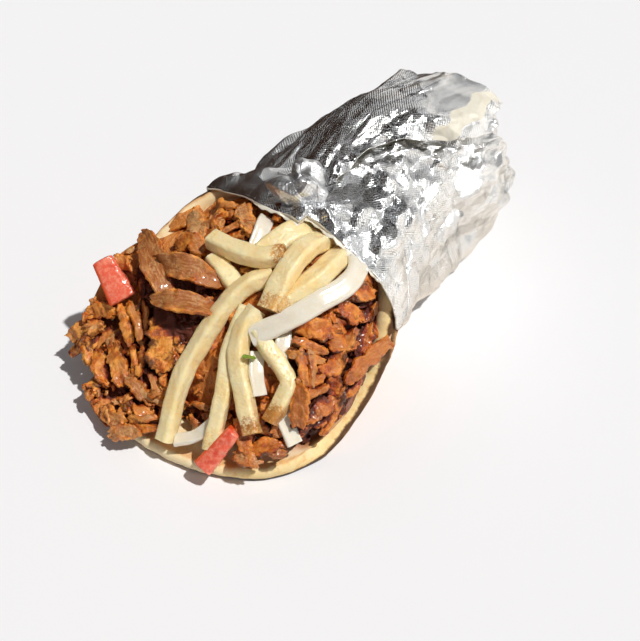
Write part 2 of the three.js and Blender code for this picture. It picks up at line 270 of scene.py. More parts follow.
def tube_mesh(points):
    """Vertices and faces of rings that close on themselves, with a point at each end."""
    rows, columns = points.shape[:2]
    corners = grid_faces(rows, columns, True)
    faces = corners[..., 0] * columns + corners[..., 1] % columns
    vertices = np.vstack([points.reshape(-1, 3), points[0].mean(0), points[-1].mean(0)])
    c = np.arange(columns)
    first, last = rows * columns, rows * columns + 1
    start = np.stack([np.full(columns, first), (c + 1) % columns, c], -1)
    bottom = (rows - 1) * columns
    end = np.stack([np.full(columns, last), bottom + c, bottom + (c + 1) % columns], -1)
    return vertices, [faces, start, end]


def volume_of(vertices, faces):
    """The signed volume of a closed mesh."""
    total = 0.0
    for group in faces:
        p = vertices[group]
        for k in range(1, group.shape[1] - 1):
            total += np.einsum("ij,ij->i", p[:, 0], np.cross(p[:, k], p[:, k + 1])).sum()
    return total / 6


class Shape:
    """A growing mesh in the roll's frame, with one number for each vertex under each attribute."""

    def __init__(self):
        self.vertices, self.faces, self.slots, self.attributes, self.count = [], [], [], {}, 0

    def add(self, vertices, faces, slots=0, **attributes):
        """Adds closed groups of faces, turned to face outwards, with a material slot for each group."""
        if volume_of(vertices, faces) < 0:
            faces = [group[:, ::-1] for group in faces]
        self.vertices.append(vertices)
        for group, slot in zip(faces, slots if isinstance(slots, list) else [slots] * len(faces)):
            self.faces.append(group + self.count)
            self.slots.append(np.broadcast_to(slot, len(group)))
        for name, values in attributes.items():
            if np.ndim(values) < 2:
                values = np.broadcast_to(values, len(vertices))
            self.attributes.setdefault(name, []).append(values)
        self.count += len(vertices)

    def mesh(self, name):
        """A mesh in the object's frame."""
        mesh = bpy.data.meshes.new(name)
        points = (np.vstack(self.vertices) + ROLL_TO_OBJECT) * MM
        sizes = np.concatenate([np.full(len(group), group.shape[1]) for group in self.faces])
        loops = np.concatenate([group.ravel() for group in self.faces])
        mesh.vertices.add(len(points))
        mesh.vertices.foreach_set("co", points.ravel())
        mesh.loops.add(len(loops))
        mesh.loops.foreach_set("vertex_index", loops)
        mesh.polygons.add(len(sizes))
        mesh.polygons.foreach_set("loop_start", np.concatenate([[0], np.cumsum(sizes)[:-1]]))
        mesh.polygons.foreach_set("material_index", np.concatenate(self.slots))
        mesh.update(calc_edges=True)
        mesh.shade_smooth()
        for key, values in self.attributes.items():
            values = np.concatenate(values)
            if values.ndim == 2:
                layer = mesh.uv_layers.new(name=key)
                layer.data.foreach_set("uv", values[loops].ravel())
            else:
                layer = mesh.attributes.new(key, "FLOAT", "POINT")
                layer.data.foreach_set("value", values)
        if mesh.validate():
            raise ValueError(f"{name} has faulty faces")
        return mesh


def finish_piece(mesh, name, slot, nodes, materials):
    """Puts a finished mesh in the scene as a piece of the sandwich."""
    for made in materials:
        mesh.materials.append(made)
    piece = bpy.data.objects.new(name, mesh)
    bpy.context.scene.collection.objects.link(piece)
    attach(piece, "root")
    if nodes:
        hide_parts(*nodes)
    return piece


# ---------------------------------------------------------------- nodes


class Link:
    """A socket that arithmetic can be done on. Each operation on values adds a Math node."""

    def __init__(self, nodes, socket):
        self.nodes, self.socket = nodes, socket

    def maths(self, operation, *values):
        return self.nodes.add("ShaderNodeMath", dict(enumerate(values)), operation=operation)

    def __add__(self, other):
        return self.maths("ADD", self, other)

    def __radd__(self, other):
        return self.maths("ADD", other, self)

    def __sub__(self, other):
        return self.maths("SUBTRACT", self, other)

    def __rsub__(self, other):
        return self.maths("SUBTRACT", other, self)

    def __mul__(self, other):
        return self.maths("MULTIPLY", self, other)

    def __rmul__(self, other):
        return self.maths("MULTIPLY", other, self)

    def __truediv__(self, other):
        return self.maths("DIVIDE", self, other)

    def __rtruediv__(self, other):
        return self.maths("DIVIDE", other, self)


class Nodes:
    """Adds nodes to one node tree."""

    def __init__(self, tree):
        self.tree = tree

    def add(self, kind, sockets=None, output=0, **settings):
        """Adds a node with its settings, sets or links its sockets, and returns one output."""
        node = self.tree.nodes.new(kind)
        for key, value in settings.items():
            setattr(node, key, value)
        for key, value in (sockets or {}).items():
            if isinstance(value, Link):
                self.tree.links.new(value.socket, node.inputs[key])
            else:
                node.inputs[key].default_value = value
        return Link(self, node.outputs[output]) if len(node.outputs) else None

    def ramp(self, value, start, end):
        """0 up to the start and 1 from the end, smooth between."""
        sockets = {"Value": value, "From Min": start, "From Max": end}
        return self.add("ShaderNodeMapRange", sockets, interpolation_type="SMOOTHSTEP")

    def blend(self, factor, first, second, how="MIX"):
        """Mixes two colours."""
        sockets = {0: factor, 6: first, 7: second}
        return self.add("ShaderNodeMix", sockets, output=2, data_type="RGBA", blend_type=how)

    def noise(self, place, size, detail=2.0, rough=0.5, warp=0.0):
        """Noise from 0 to 1 with swells of about the given size in metres."""
        sockets = {
            "Vector": place,
            "Scale": 1 / size,
            "Detail": detail,
            "Roughness": rough,
            "Distortion": warp,
        }
        return self.add("ShaderNodeTexNoise", sockets)

    def attribute(self, name):
        return self.add("ShaderNodeAttribute", output="Fac", attribute_name=name)

    def place(self):
        return self.add("ShaderNodeTexCoord", output="Object")

    def stretched(self, place, scale):
        return self.add("ShaderNodeMapping", {"Vector": place, "Scale": scale})

    def bump(self, height, strength, distance, normal=None):
        sockets = {"Height": height, "Strength": strength, "Distance": distance}
        if normal:
            sockets["Normal"] = normal
        return self.add("ShaderNodeBump", sockets)


def new_material(name):
    """An empty node material: its nodes, and a function that adds its shader."""
    material = bpy.data.materials.new(name)
    material.use_nodes = True
    material.node_tree.nodes.clear()
    nodes = Nodes(material.node_tree)

    def finish(**sockets):
        sockets = {key.replace("_", " "): value for key, value in sockets.items()}
        shader = nodes.add("ShaderNodeBsdfPrincipled", sockets)
        nodes.add("ShaderNodeOutputMaterial", {"Surface": shader})
        return material

    return nodes, finish


def colour(code):
    """The linear colour of a hex code, with full alpha."""
    parts = [int(code[i : i + 2], 16) / 255 for i in (0, 2, 4)]
    return (*(c / 12.92 if c <= 0.04045 else ((c + 0.055) / 1.055) ** 2.4 for c in parts), 1.0)


# ---------------------------------------------------------------- bread


def ring_places(*parts):
    """Places along a sleeve: each part is a start, an end and how many steps it takes."""
    return np.concatenate([np.linspace(a, b, n, endpoint=False) for a, b, n in parts])


def wall_points(surface, angles, places, edge_rows, inside, outside):
    """Rings of a wall: down its inner face to the edge, round the edge, and back along its outer face.

    inside and outside give the two faces' distances from the sleeve, as functions of angle and along.
    Also returns how far each ring has turned from the inner face (0) to the outer face (1).
    """
    angle, along = np.meshgrid(angles, places[::-1])
    inner = offset_point(surface, angle, along, inside(angle, along))
    angle, along = np.meshgrid(angles, places)
    outer = offset_point(surface, angle, along, outside(angle, along))
    edge, normal = surface(angles, angles * 0), normal_of(surface, angles, angles * 0)
    outwards = unit(edge - surface(angles, angles * 0 + 0.01))
    low, high = inside(angles, angles * 0), outside(angles, angles * 0)
    rings = []
    turns = np.linspace(-1, 1, edge_rows + 2)[1:-1]
    for turn in turns:
        across = (low + high) / 2 + (high - low) / 2 * np.sin(turn * np.pi / 2)
        ahead = (high - low) / 2 * np.cos(turn * np.pi / 2)
        rings.append(edge + normal * across[:, None] + outwards * ahead[:, None])
    points = np.concatenate([inner, np.stack(rings), outer])
    skin = np.concatenate([np.zeros(len(places)), (turns + 1) / 2, np.ones(len(places))])
    return points, np.repeat(skin, len(angles))


def round_angles(count):
    return np.arange(count) / count * 2 * np.pi


def bread_shape():
    angles = round_angles(400)

    def edge_y(angle):
        around = np.stack([np.cos(angle), np.sin(angle)], -1) * 45
        return rim_point(angle)[..., 1] + 1.1 * noise(around, 16, 3) + 0.5 * noise(around, 5, 4)

    surface = sleeve(edge_y, BREAD_TAIL_Y)

    def thickness(angle, along):
        place = surface(angle, along)
        thin_rim = 0.95 + 0.05 * ramp(0, 0.06, along)
        swell = 1 + 0.12 * noise(place, 13, 5) + 0.05 * noise(place, 5, 6)
        return BREAD / 2 * thin_rim * swell

    def inside(angle, along):
        degrees = signed_degrees(angle)
        plump = 1.5 * bump(92, 70, degrees) * ramp(0.3, 0.05, along)
        return -thickness(angle, along) - plump + 0.25 * noise(surface(angle, along), 3.2, 7)

    def outside(angle, along):
        return thickness(angle, along) + 0.25 * noise(surface(angle, along), 4, 8)

    places = ring_places((0, 0.3, 56), (0.3, 0.98, 22))
    points, skin = wall_points(surface, angles, places, 9, inside, outside)
    rim = surface(angles, angles * 0)
    outwards = unit(rim - surface(angles, angles * 0 + 0.01))
    degrees = signed_degrees(angles)
    near_edge = ramp(0.07, 0, np.concatenate([places[::-1], np.zeros(9), places]))
    lean = (1 - 2 * skin.reshape(-1, len(angles))) * bump(92, 50, degrees) * near_edge[:, None]
    points = points + outwards * lean[..., None]
    vertices, faces = tube_mesh(points)
    from_rim = np.linalg.norm(points - rim, axis=-1).ravel()
    shape = Shape()
    shape.add(
        vertices,
        faces,
        skin=np.append(skin, (0, 1)),
        rim=np.append(from_rim, (99, 99)),
    )
    return shape


def bread_material(settings):
    nodes, finish = new_material("baked_flatbread")
    place = nodes.place()
    skin, rim = nodes.attribute("skin"), nodes.attribute("rim")
    patches = nodes.noise(place, 0.012, 3, 0.55)
    mottle = nodes.noise(place, 0.0035, 4, 0.6)
    fine = nodes.noise(place, 0.0009, 3, 0.6)
    crumb = nodes.blend(nodes.ramp(patches, 0.4, 0.72), colour("fcecc8"), colour("f6dcab"))
    crumb = nodes.blend(nodes.ramp(mottle, 0.5, 0.78) * 0.4, crumb, colour("eac083"))
    golden = nodes.blend(nodes.ramp(mottle, 0.45, 0.72), colour("ffe09a"), colour("f6bf68"))
    near_rim = 1 - nodes.ramp(rim + patches * 4, 4, 9)
    right = nodes.ramp(nodes.add("ShaderNodeSeparateXYZ", {0: place}), 0.02, 0.045)
    # Golden toast near the rim; the extra gold on the right lip (+X) is painted light.
    base = nodes.blend(near_rim * (0.25 + 0.75 * right), crumb, golden)
    shoulder = skin.maths("ABSOLUTE", skin - 0.42)
    warm = nodes.ramp(shoulder + mottle * 0.16, 0.3, 0.46) * near_rim * 0.7
    base = nodes.blend(warm, base, colour("d98d3c"))
    crust = nodes.blend(nodes.ramp(patches, 0.4, 0.72), colour("e3b06c"), colour("bb7a42"))
    crust = nodes.blend(nodes.ramp(mottle, 0.58, 0.7), crust, colour("7c4420"))
    base = nodes.blend(nodes.ramp(skin, 0.8, 0.97), base, crust)
    scorched = nodes.ramp(skin + mottle * 0.3 + right * 0.14, 0.95, 1.06)
    char = scorched * (1 - nodes.ramp(rim + mottle * 4, 5, 8))
    base = nodes.blend(char * 0.92, base, colour("34160c"))
    depth = rim + patches * 9 + right * 10.5
    sauce = (1 - nodes.ramp(skin, 0.1, 0.3)) * nodes.ramp(depth, 18, 26)
    base = nodes.blend(sauce * 0.8, base, settings.sauce_colour)
    # Deeper in on the right the sauce turns dark red-brown beside the meat: partly sauce stain, partly
    # painted shade.
    base = nodes.blend(sauce * right * nodes.ramp(depth, 22, 28) * 0.85, base, colour("6e2c0f"))
    relief = mottle * 0.6 + fine * 0.4
    return finish(
        Base_Color=base,
        Roughness=0.72 - sauce * 0.3,
        Normal=nodes.bump(relief, 0.55, 0.0009),
        Subsurface_Weight=0.06,
        Subsurface_Radius=(1.0, 0.55, 0.25),
        Subsurface_Scale=0.002,
        Specular_IOR_Level=0.35,
    )


# ---------------------------------------------------------------- foil


def foil_edge(angle):
    """Where the foil's front edge lies along the roll."""
    degrees = signed_degrees(angle)
    around = np.stack([np.cos(angle), np.sin(angle)], -1) * 42
    wavy = 0.9 * noise(around, 9, 21) + 0.5 * noise(around, 3.5, 22)
    return (
        -9 - 9 * ramp(80, 125, -degrees) + 5 * ramp(25, 70, degrees) - 9 * ramp(75, 105, degrees) + wavy
    )


def unrolled(angle, y):
    """The foil's flat coordinates: the arc from the top, positive to the right, and along the roll."""
    return (np.pi - angle) * 42, y


def foil_relief(u, v, calm, smooth):
    """The height of the creases. calm leaves long folds along the roll, smooth almost none."""
    rough = 0.8 * crumple(u, v, (14, 12), 100, 0.4) + 0.85 * crumple(u, v, (6.5, 7.5), 200, 0.5)
    rough += 0.3 * crumple(u, v, (2.8, 3), 300, 0.5)
    place = np.stack([u, v], -1)
    folds = 0.7 * crumple(u, v, (13, 42), 400, 0.3) + 0.5 * crumple(u, v, (5.5, 19), 500, 0.4)
    folds += 0.15 * crumple(u, v, (2.6, 6), 600, 0.4)
    for seed, size in ((610, (11, 52)), (620, (17, 34))):
        fold = np.abs(noise(place, size, seed) + 0.12 * noise(place, 6, seed + 1))
        folds += 0.7 * np.maximum(1 - fold / 0.07, 0) * ramp(-0.1, 0.5, noise(place, 19, seed + 2))
    soft = 0.4 * crumple(u, v, (34, 9), 700, 0.32) + 0.4 * crumple(u, v, (15, 3.6), 800, 0.42)
    soft += 0.15 * crumple(u, v, (4, 2), 900, 0.45)
    return mix(mix(rough, folds, calm), soft, smooth)


def foil_shell_shape():
    angles = round_angles(430)
    surface = sleeve(foil_edge, BREAD_TAIL_Y + 2)
    outer_face = FOIL_INSIDE + FOIL * 0.6
    spare = FOIL_TAIL_Y - BREAD_TAIL_Y - 2 - outer_face

    def inside(angle, along):
        return np.full(angle.shape, FOIL_INSIDE - 0.15)

    def outside(angle, along):
        place = surface(angle, along)
        u, v = unrolled(angle, place[..., 1])
        degrees = np.degrees(angle)
        calm = ramp(185, 205, degrees)
        smooth = ramp(142, 116, degrees + 6 * noise(np.stack([u, v], -1), 12, 32))
        smooth = smooth * ramp(0.8, 0.66, along)
        height = foil_relief(u, v, calm, smooth)
        under_flap = ramp(165, 180, degrees) * ramp(262, 240, degrees) * ramp(-6, 4, place[..., 1])
        crushed = 1 + 0.25 * ramp(0.62, 0.8, along)
        amount = (1 - 0.75 * under_flap) * ramp(2, 16, place[..., 2]) * crushed
        amount *= 0.25 + 0.75 * ramp(0, 0.03, along)
        skirt = 8 * bump(50, 34, degrees) * ramp(0.08, 0.3, along) * ramp(0.8, 0.4, along)
        return outer_face + np.maximum(height + 1.4, 0.0) * amount + skirt

    places = ring_places((0, 0.62, 110), (0.62, 0.97, 60))
    points, skin = wall_points(surface, angles, places, 3, inside, outside)
    rows = len(places)
    keep = np.concatenate([np.arange(0, rows, 12), np.arange(rows - 4, 2 * rows + 3)])
    points = points[np.unique(keep)]
    skin = skin.reshape(-1, len(angles))[np.unique(keep)]
    along = np.concatenate([places[::-1], [0, 0, 0], places])[np.unique(keep)]
    crushed = ramp(STRAIGHT + 0.08, 0.92, along)[:, None] * (skin > 0.9)
    points[..., 1] += spare * crushed * (0.8 + 0.5 * noise(points[..., ::2], 9, 31))
    points[..., 2] = np.maximum(points[..., 2], 0.1)
    vertices, faces = tube_mesh(points)
    face_skin = skin[:-1, :1].repeat(len(angles), 1).ravel()
    u, v = unrolled(angles, points[..., 1])
    flat = np.stack([np.broadcast_to(u, v.shape), v], -1).reshape(-1, 2)
    flat = np.vstack([flat, flat[:1], flat[-1:]])
    shape = Shape()
    shape.add(vertices, faces, [(face_skin < 0.6).astype(int), 1, 0], flat=flat * 0.1, calm=0 * flat[:, 0])
    return shape


FLAP_START_Y = -5
FLAP_END_Y = (82, 97)
FLAP_ROOT = -115


def flap_point(s, t):
    """The loose outer turn of foil: s runs from where it leaves the roll to its free edge."""
    y = mix(FLAP_START_Y, mix(*FLAP_END_Y, s), t)
    free_edge = -183 - 6 * ramp(0.1, 0.35, t) - 28 * ramp(0.3, 0.72, t) + 13 * ramp(0.8, 1, t)
    angle = np.radians(mix(FLAP_ROOT, free_edge, s))
    bulge = (1 + 1.6 * ramp(0, 0.3, t)) * np.sin(s * np.pi * 0.6)
    flat = 8 * np.minimum(s, 0.88) ** 2 - 34 * np.maximum(s - 0.88, 0)
    lift = bulge + flat * ramp(0.3, 0.65, t)
    radial = np.stack([np.sin(angle), angle * 0, -np.cos(angle)], -1)
    point = roll_point(angle, y) + radial * (FOIL_INSIDE + FOIL / 2 + lift)[..., None]
    point[..., 2] -= 5 * s * ramp(0.85, 1, t)
    return point, angle


def flap_shape():
    t, s = np.meshgrid(np.linspace(0, 1, 210), np.linspace(0, 1, 170), indexing="ij")
    wavy = np.stack([t * 90, s * 0], -1)
    step = 0.004
    s_edge = s * (1 + 0.02 * noise(wavy, 11, 41) + 0.012 * noise(wavy, 4, 42))
    t_edge = t + (0.014 * noise(np.stack([s * 60, t * 0], -1), 6, 43)) * (1 - 2 * t)
    point, angle = flap_point(s_edge, t_edge)
    across = flap_point(s_edge + step, t_edge)[0] - flap_point(s_edge - step, t_edge)[0]
    down = flap_point(s_edge, t_edge + step)[0] - flap_point(s_edge, t_edge - step)[0]
    normal = unit(np.cross(across, down))
    if (normal * (point - (0, 40, 36))).sum() < 0:
        normal = -normal
    u, v = unrolled(angle % (2 * np.pi), point[..., 1])
    calm = ramp(1.0, 0.8, s + 0.12 * noise(np.stack([u, v], -1), 24, 44) + 0.5 * ramp(0.25, 0, t))
    height = foil_relief(u, v, calm, 0 * s)
    height = np.maximum(height + 0.8, -0.2) - 1.1 * ramp(0.12, 0, s)
    top = point + normal * height[..., None]
    bottom = point + normal * (height * 0.9 - 0.3)[..., None]
    vertices, faces = sheet_mesh(top, bottom)
    flat = np.stack([u, v], -1).reshape(-1, 2)
    place = s_edge + 0.02 * noise(wavy, 9, 45)
    turned_up = place > mix(1.1, 0.91, ramp(0.5, 0.6, t)) - 0.09 * bump(0.8, 0.2, t)
    turned_up &= place < 1.05 - 0.13 * bump(0.8, 0.25, t)
    shape = Shape()
    slots = [turned_up[:-1, :-1].ravel().astype(int), 1, 1]
    calm = np.append(calm, calm)
    shape.add(vertices, faces, slots, flat=np.vstack([flat, flat]) * 0.1, calm=calm)
    return shape


def sheet_mesh(top, bottom):
    """Vertices and faces of a thin closed sheet: its upper face, lower face and edge."""
    rows, columns = top.shape[:2]
    count = rows * columns
    corners = grid_faces(rows, columns, False)
    upper = corners[..., 0] * columns + corners[..., 1]
    lower = upper[:, ::-1] + count
    last = (rows - 1) * columns
    border = np.concatenate(
        [
            np.arange(columns),
            np.arange(1, rows) * columns + columns - 1,
            last + np.arange(columns - 2, -1, -1),
            np.arange(rows - 2, 0, -1) * columns,
        ]
    )
    ahead = np.roll(border, -1)
    edge = np.stack([ahead, border, border + count, ahead + count], -1)
    return np.vstack([top.reshape(-1, 3), bottom.reshape(-1, 3)]), [upper, lower, edge]


def knot_shape():
    """A knot of crushed foil that stands up at the edge of the mouth."""
    rng = np.random.default_rng(12)
    turn = round_angles(96)
    rise = np.linspace(-np.pi / 2, np.pi / 2, 66)[1:-1]
    turn, rise = np.meshgrid(turn, rise)
    way = np.stack([np.cos(rise) * np.cos(turn), np.cos(rise) * np.sin(turn), np.sin(rise)], -1)

    def folds(count, strength):
        slopes = unit(rng.normal(size=(count, 3))) * strength * 1.5
        offsets = rng.uniform(0, 0.3, count)
        return np.max(way @ slopes.T + offsets, -1)

    radius = 0.95 + folds(18, 0.7) - folds(18, 0.7) + 0.4 * (folds(50, 1.1) - folds(50, 1.1))
    points = np.array([-8.5, -6.5, 72.8]) + way * radius[..., None] * (9.6, 8.2, 9.6)
    vertices, faces = tube_mesh(points)
    shape = Shape()
    flat = np.vstack([np.stack([turn * 7, rise * 7], -1).reshape(-1, 2), np.zeros((2, 2))])
    shape.add(vertices, faces, 0, flat=flat * 0.1, calm=np.full(len(vertices), -0.5))
    return shape


def lip_shape():
    """The torn paper edge that stands out of the foil along the top of the mouth."""
    angle, out = np.meshgrid(np.radians(np.linspace(112, 214, 220)), np.linspace(0, 1, 12))
    degrees = np.degrees(angle)
    arc = np.stack([degrees * 0.73, out * 0], -1)
    reach = 2.5 + 1.4 * noise(arc, 8, 71) + 0.8 * noise(arc, 2.6, 72)
    reach = reach * (0.25 + 0.75 * ramp(112, 150, degrees)) * ramp(214, 196, degrees)
    surface = sleeve(foil_edge, BREAD_TAIL_Y + 2)
    start = surface(angle, angle * 0)
    normal = normal_of(surface, angle, angle * 0)
    ahead = unit(start - surface(angle, angle * 0 + 0.01))
    height = FOIL_INSIDE + 0.45 + 0.5 * crumple(degrees * 0.73, out * reach, (3.4, 4), 73, 0.5) * out
    point = start + ahead * (out * reach - 0.8)[..., None]
    point = point + normal * (height - 0.9 * (out * reach / 3) ** 2)[..., None]
    vertices, faces = sheet_mesh(point, point - normal * 0.35)
    shape = Shape()
    flat = np.stack([degrees * 0.73, out * reach], -1).reshape(-1, 2) * 0.1
    shape.add(vertices, faces, 1, flat=np.vstack([flat, flat]))
    return shape


EMBOSS_PITCH = 1.15  # from one ridge of the embossing to the next


def foil_material(settings):
    nodes, finish = new_material("embossed_foil")
    place = nodes.place()
    flat = nodes.add("ShaderNodeUVMap", uv_map="flat")
    split = nodes.add("ShaderNodeSeparateXYZ", {0: flat})
    turns = 20 * np.pi / EMBOSS_PITCH
    across = split * turns
    down = Link(nodes, split.socket.node.outputs["Y"]) * turns
    waffle = across.maths("SINE", across) * down.maths("SINE", down)
    scuffs = nodes.noise(place, 0.006, 4, 0.6)
    fine = nodes.noise(place, 0.0012, 3, 0.6)
    calm = nodes.attribute("calm")

    def tilted(size, stretch):
        """A height that tilts each small facet of the sheet its own way."""
        spot = nodes.stretched(flat, (10 / size, 10 / (size * stretch), 1.0))
        cell = nodes.add("ShaderNodeTexVoronoi", {"Vector": spot, "Scale": 1.0}, output="Color")
        centre = Link(nodes, cell.socket.node.outputs["Position"])
        away = nodes.add("ShaderNodeVectorMath", {0: spot, 1: centre}, operation="SUBTRACT")
        tilt = nodes.add("ShaderNodeVectorMath", {0: cell, 1: (0.5, 0.5, 0.5)}, operation="SUBTRACT")
        dot = nodes.add("ShaderNodeVectorMath", {0: away, 1: tilt}, output="Value", operation="DOT_PRODUCT")
        return dot * size

    crushed = tilted(10, 1.4) + tilted(5, 1.5) * 0.7 + tilted(2.6, 1.6) * 0.4
    pulled = tilted(5, 7) * 1.1 + tilted(2.4, 4) * 0.5
    creases = nodes.bump(crushed + (pulled - crushed) * calm, 1.0, 0.00065)
    emboss = nodes.bump(waffle * 0.5 + fine * 0.7, 0.55, 0.00025, creases)
    base = nodes.blend(scuffs, settings.foil_colour, colour("e9eaec"))
    return finish(
        Base_Color=base,
        Metallic=1.0,
        Roughness=0.12 + scuffs * 0.15 + nodes.ramp(calm, -0.1, -0.4) * 0.2,
        Normal=emboss,
    )


def paper_material(settings):
    nodes, finish = new_material("lining_paper")
    place = nodes.place()
    fibres = nodes.noise(place, 0.0016, 4, 0.65)
    patches = nodes.noise(place, 0.011, 3, 0.5)
    base = nodes.blend(fibres, settings.paper_colour, colour("e2dac4"))
    base = nodes.blend(nodes.ramp(patches, 0.55, 0.8) * 0.4, base, colour("cfb48a"))
    return finish(
        Base_Color=base,
        Roughness=0.55,
        Metallic=0.15,
        Normal=nodes.bump(fibres, 0.4, 0.0003),
    )


# ---------------------------------------------------------------- filling

FILLING_SHORT = 9
FILLING_GAP = 1
SPILL = 12
LIP = 0.035
HEAP_CENTRE = np.array([0.0, -42.0, 0.0])


def heap_height(x, y):
    """The height of the heaped filling in the mouth."""
    climb = np.sin(np.clip((y + 98) / 88, 0, 1) * np.pi / 2)
    right, left = np.maximum(x, 0) / 50, np.maximum(-x, 0) / 50
    return (8 + 56 * climb**0.9) * (1 - 0.55 * right**2.4 - 0.22 * left * left)


def core_shape(sunk):
    """The lumpy heart of the filling, sunk below its top to leave room for what lies on it."""
    angles = round_angles(200)
    surface = sleeve(lambda angle: rim_point(angle)[..., 1], BREAD_TAIL_Y)
    degrees = signed_degrees(angles)
    bare = 0.02 + LIP * ramp(-70, -20, degrees) * (1 - ramp(80, 110, degrees))
    inside = -BREAD / 2 - FILLING_GAP
    edge = offset_point(surface, angles, bare, np.full(angles.shape, inside))
    spilled = np.maximum(bump(-30, 24, degrees), bump(-74, 34, degrees))
    rim = rim_point(angles)
    outwards = unit((rim - HEAP_CENTRE) * (1, 1, 0))
    outline = edge + spilled[:, None] * (rim - edge + outwards * (SPILL - 2.5))
    outline[:, 2] += spilled * 3
    rings = []
    for q in np.linspace(0, 1, 84)[1:] ** 0.8:
        x, y = mix(HEAP_CENTRE[0], outline[:, 0], q), mix(HEAP_CENTRE[1], outline[:, 1], q)
        flat = np.stack([x, y], -1)
        lumps = 2.2 * noise(flat, 9, 51) + 1.6 * noise(flat, 4.2, 52) + 0.7 * noise(flat, 2, 53)
        beside = ramp(0.72, 0.95, q) * ramp(20, 45, degrees) * ramp(140, 115, degrees)
        top = heap_height(x, y) - sunk + lumps - 2 * beside
        top = np.maximum(top, outline[:, 2] + 1 - 3 * beside)
        rings.append(np.stack([x, y, mix(outline[:, 2], top, 1 - q**8)], -1))
    top_rings = len(rings)
    for f in (0.2, 0.5, 0.8):
        rings.append(mix(outline - spilled[:, None] * (0, 0, 4), edge, f))
    for f in np.linspace(0, 0.97, 14):
        along = mix(bare, 1, f)
        point = offset_point(surface, angles, along, np.full(angles.shape, inside))
        point[:, 1] -= FILLING_SHORT * ramp(0.4, 1, along)
        rings.append(point)
    points = np.stack(rings)
    vertices, faces = tube_mesh(points)
    shape = Shape()
    count = len(vertices)
    shape.add(
        vertices,
        faces,
        sear=np.full(count, 0.35) + 0.3 * noise(vertices, 7, 54),
        tone=np.full(count, 0.15),
        grain=np.stack([vertices[:, 0] + vertices[:, 2], vertices[:, 1]], -1) * 0.1,
    )
    return shape, top_rings * len(angles)


def ribbon(
    path, up, width, thickness, seed, steps, sides, ragged, twist, cup=0.12, rough=0.5, blunt=0.26
):
    """A torn strip of meat along a path: its vertices, faces and attributes."""
    t = (1 - np.cos(np.linspace(0.05, np.pi - 0.05, steps))) / 2
    t = mix(t, np.linspace(0.004, 0.996, steps), 0.6)
    centre = spline(path, t)
    length = np.linalg.norm(np.diff(centre, axis=0), axis=1).sum()
    tangent = unit(np.gradient(centre, axis=0))
    side = unit(np.cross(tangent, up))
    lift = np.cross(side, tangent)
    turn = (twist * (t - 0.5) + 0.3 * noise(np.stack([t * length, t * 0 + seed], -1), 6, seed))[:, None]
    side, lift = side * np.cos(turn) + lift * np.sin(turn), lift * np.cos(turn) - side * np.sin(turn)
    end = np.sin(np.pi * t) ** blunt
    around = round_angles(sides)
    c, s = np.cos(around), np.sin(around)
    across = np.sign(c) * np.abs(c) ** 0.65
    thick = np.sign(s) * np.abs(s) ** (0.45 if blunt > 0.4 else 0.65)
    grid_t, grid_a = np.meshgrid(t, across, indexing="ij")
    run = grid_t * length
    edge = np.stack([run, np.sign(grid_a) * 9 + seed], -1)
    wobble = noise(edge, 4.2, seed + 1) + 0.4 * noise(edge, 1.6, seed + 7)
    x = width / 2 * end[:, None] * (1 + ragged * wobble) * across
    y = thickness / 2 * thick * (0.5 + 0.5 * end[:, None])
    y = y * (1 + 0.4 * rough * noise(np.stack([run, x + seed * 3.1], -1), 3.5, seed + 2))
    y = y + cup * width * (grid_a**2 - 0.4)
    y = y + 0.12 * width * noise(np.stack([run, np.sign(grid_a) * 5], -1), 4, seed + 3) * grid_a
    frayed = ramp(0.55, 1, np.abs(2 * grid_t - 1)) * np.sign(grid_t - 0.5)
    slide = frayed * noise(np.stack([x * 1.6 + seed, np.sign(grid_t - 0.5) * 7], -1), 2.2, seed + 8)
    slide = slide * min(width, 6) * 0.4
    points = (
        centre[:, None]
        + x[..., None] * side[:, None]
        + y[..., None] * lift[:, None]
        + slide[..., None] * tangent[:, None]
    )
    outward = unit(points - centre[:, None])
    grain = np.stack([x, run + seed * 1.7], -1)
    split = np.abs(noise(grain + seed, (1.5, 9), seed + 4))
    grooves = -np.maximum(1 - split / 0.16, 0)
    lumps = 0.6 * noise(points, 3.1, seed + 5) + 0.75 * noise(points, 1.2, seed + 9)
    relief = 0.55 * grooves + 0.62 * lumps
    points = points + outward * (relief * rough)[..., None]
    vertices, faces = tube_mesh(points)
    sear = 0.5 * np.abs(grid_a) ** 4 + 0.5 * noise(points, 4.5, seed + 6) + 0.18 * lumps
    sear = np.append(sear.ravel(), sear.mean() * np.ones(2))
    grain = np.vstack([grain.reshape(-1, 2), grain[0, :1], grain[-1, :1]]) * 0.1
    return vertices, faces, sear, grain


def paint_crevice_shade(shapes):
    """Marks how deep each vertex lies under the meat round it, for painted shade that darkens the gaps."""
    cell, reach = 0.8, 4
    every = np.vstack([part for shape in shapes for part in shape.vertices])
    low = every[:, :2].min(0) - cell * (reach + 1)
    counts = np.ceil((every[:, :2].max(0) - low) / cell).astype(int) + reach + 2
    top = np.zeros(counts)
    at = ((every[:, :2] - low) / cell).astype(int)
    np.maximum.at(top, (at[:, 0], at[:, 1]), every[:, 2])
    steps = [
        step
        for step in itertools.product(range(-reach, reach + 1), repeat=2)
        if step[0] ** 2 + step[1] ** 2 <= reach**2
    ]
    near = np.mean([np.roll(top, step, (0, 1)) for step in steps], 0)
    for shape in shapes:
        points = np.vstack(shape.vertices)
        at = ((points[:, :2] - low) / cell).astype(int)
        shape.attributes["sunk"] = [ramp(0.3, 4.5, near[at[:, 0], at[:, 1]] - points[:, 2])]


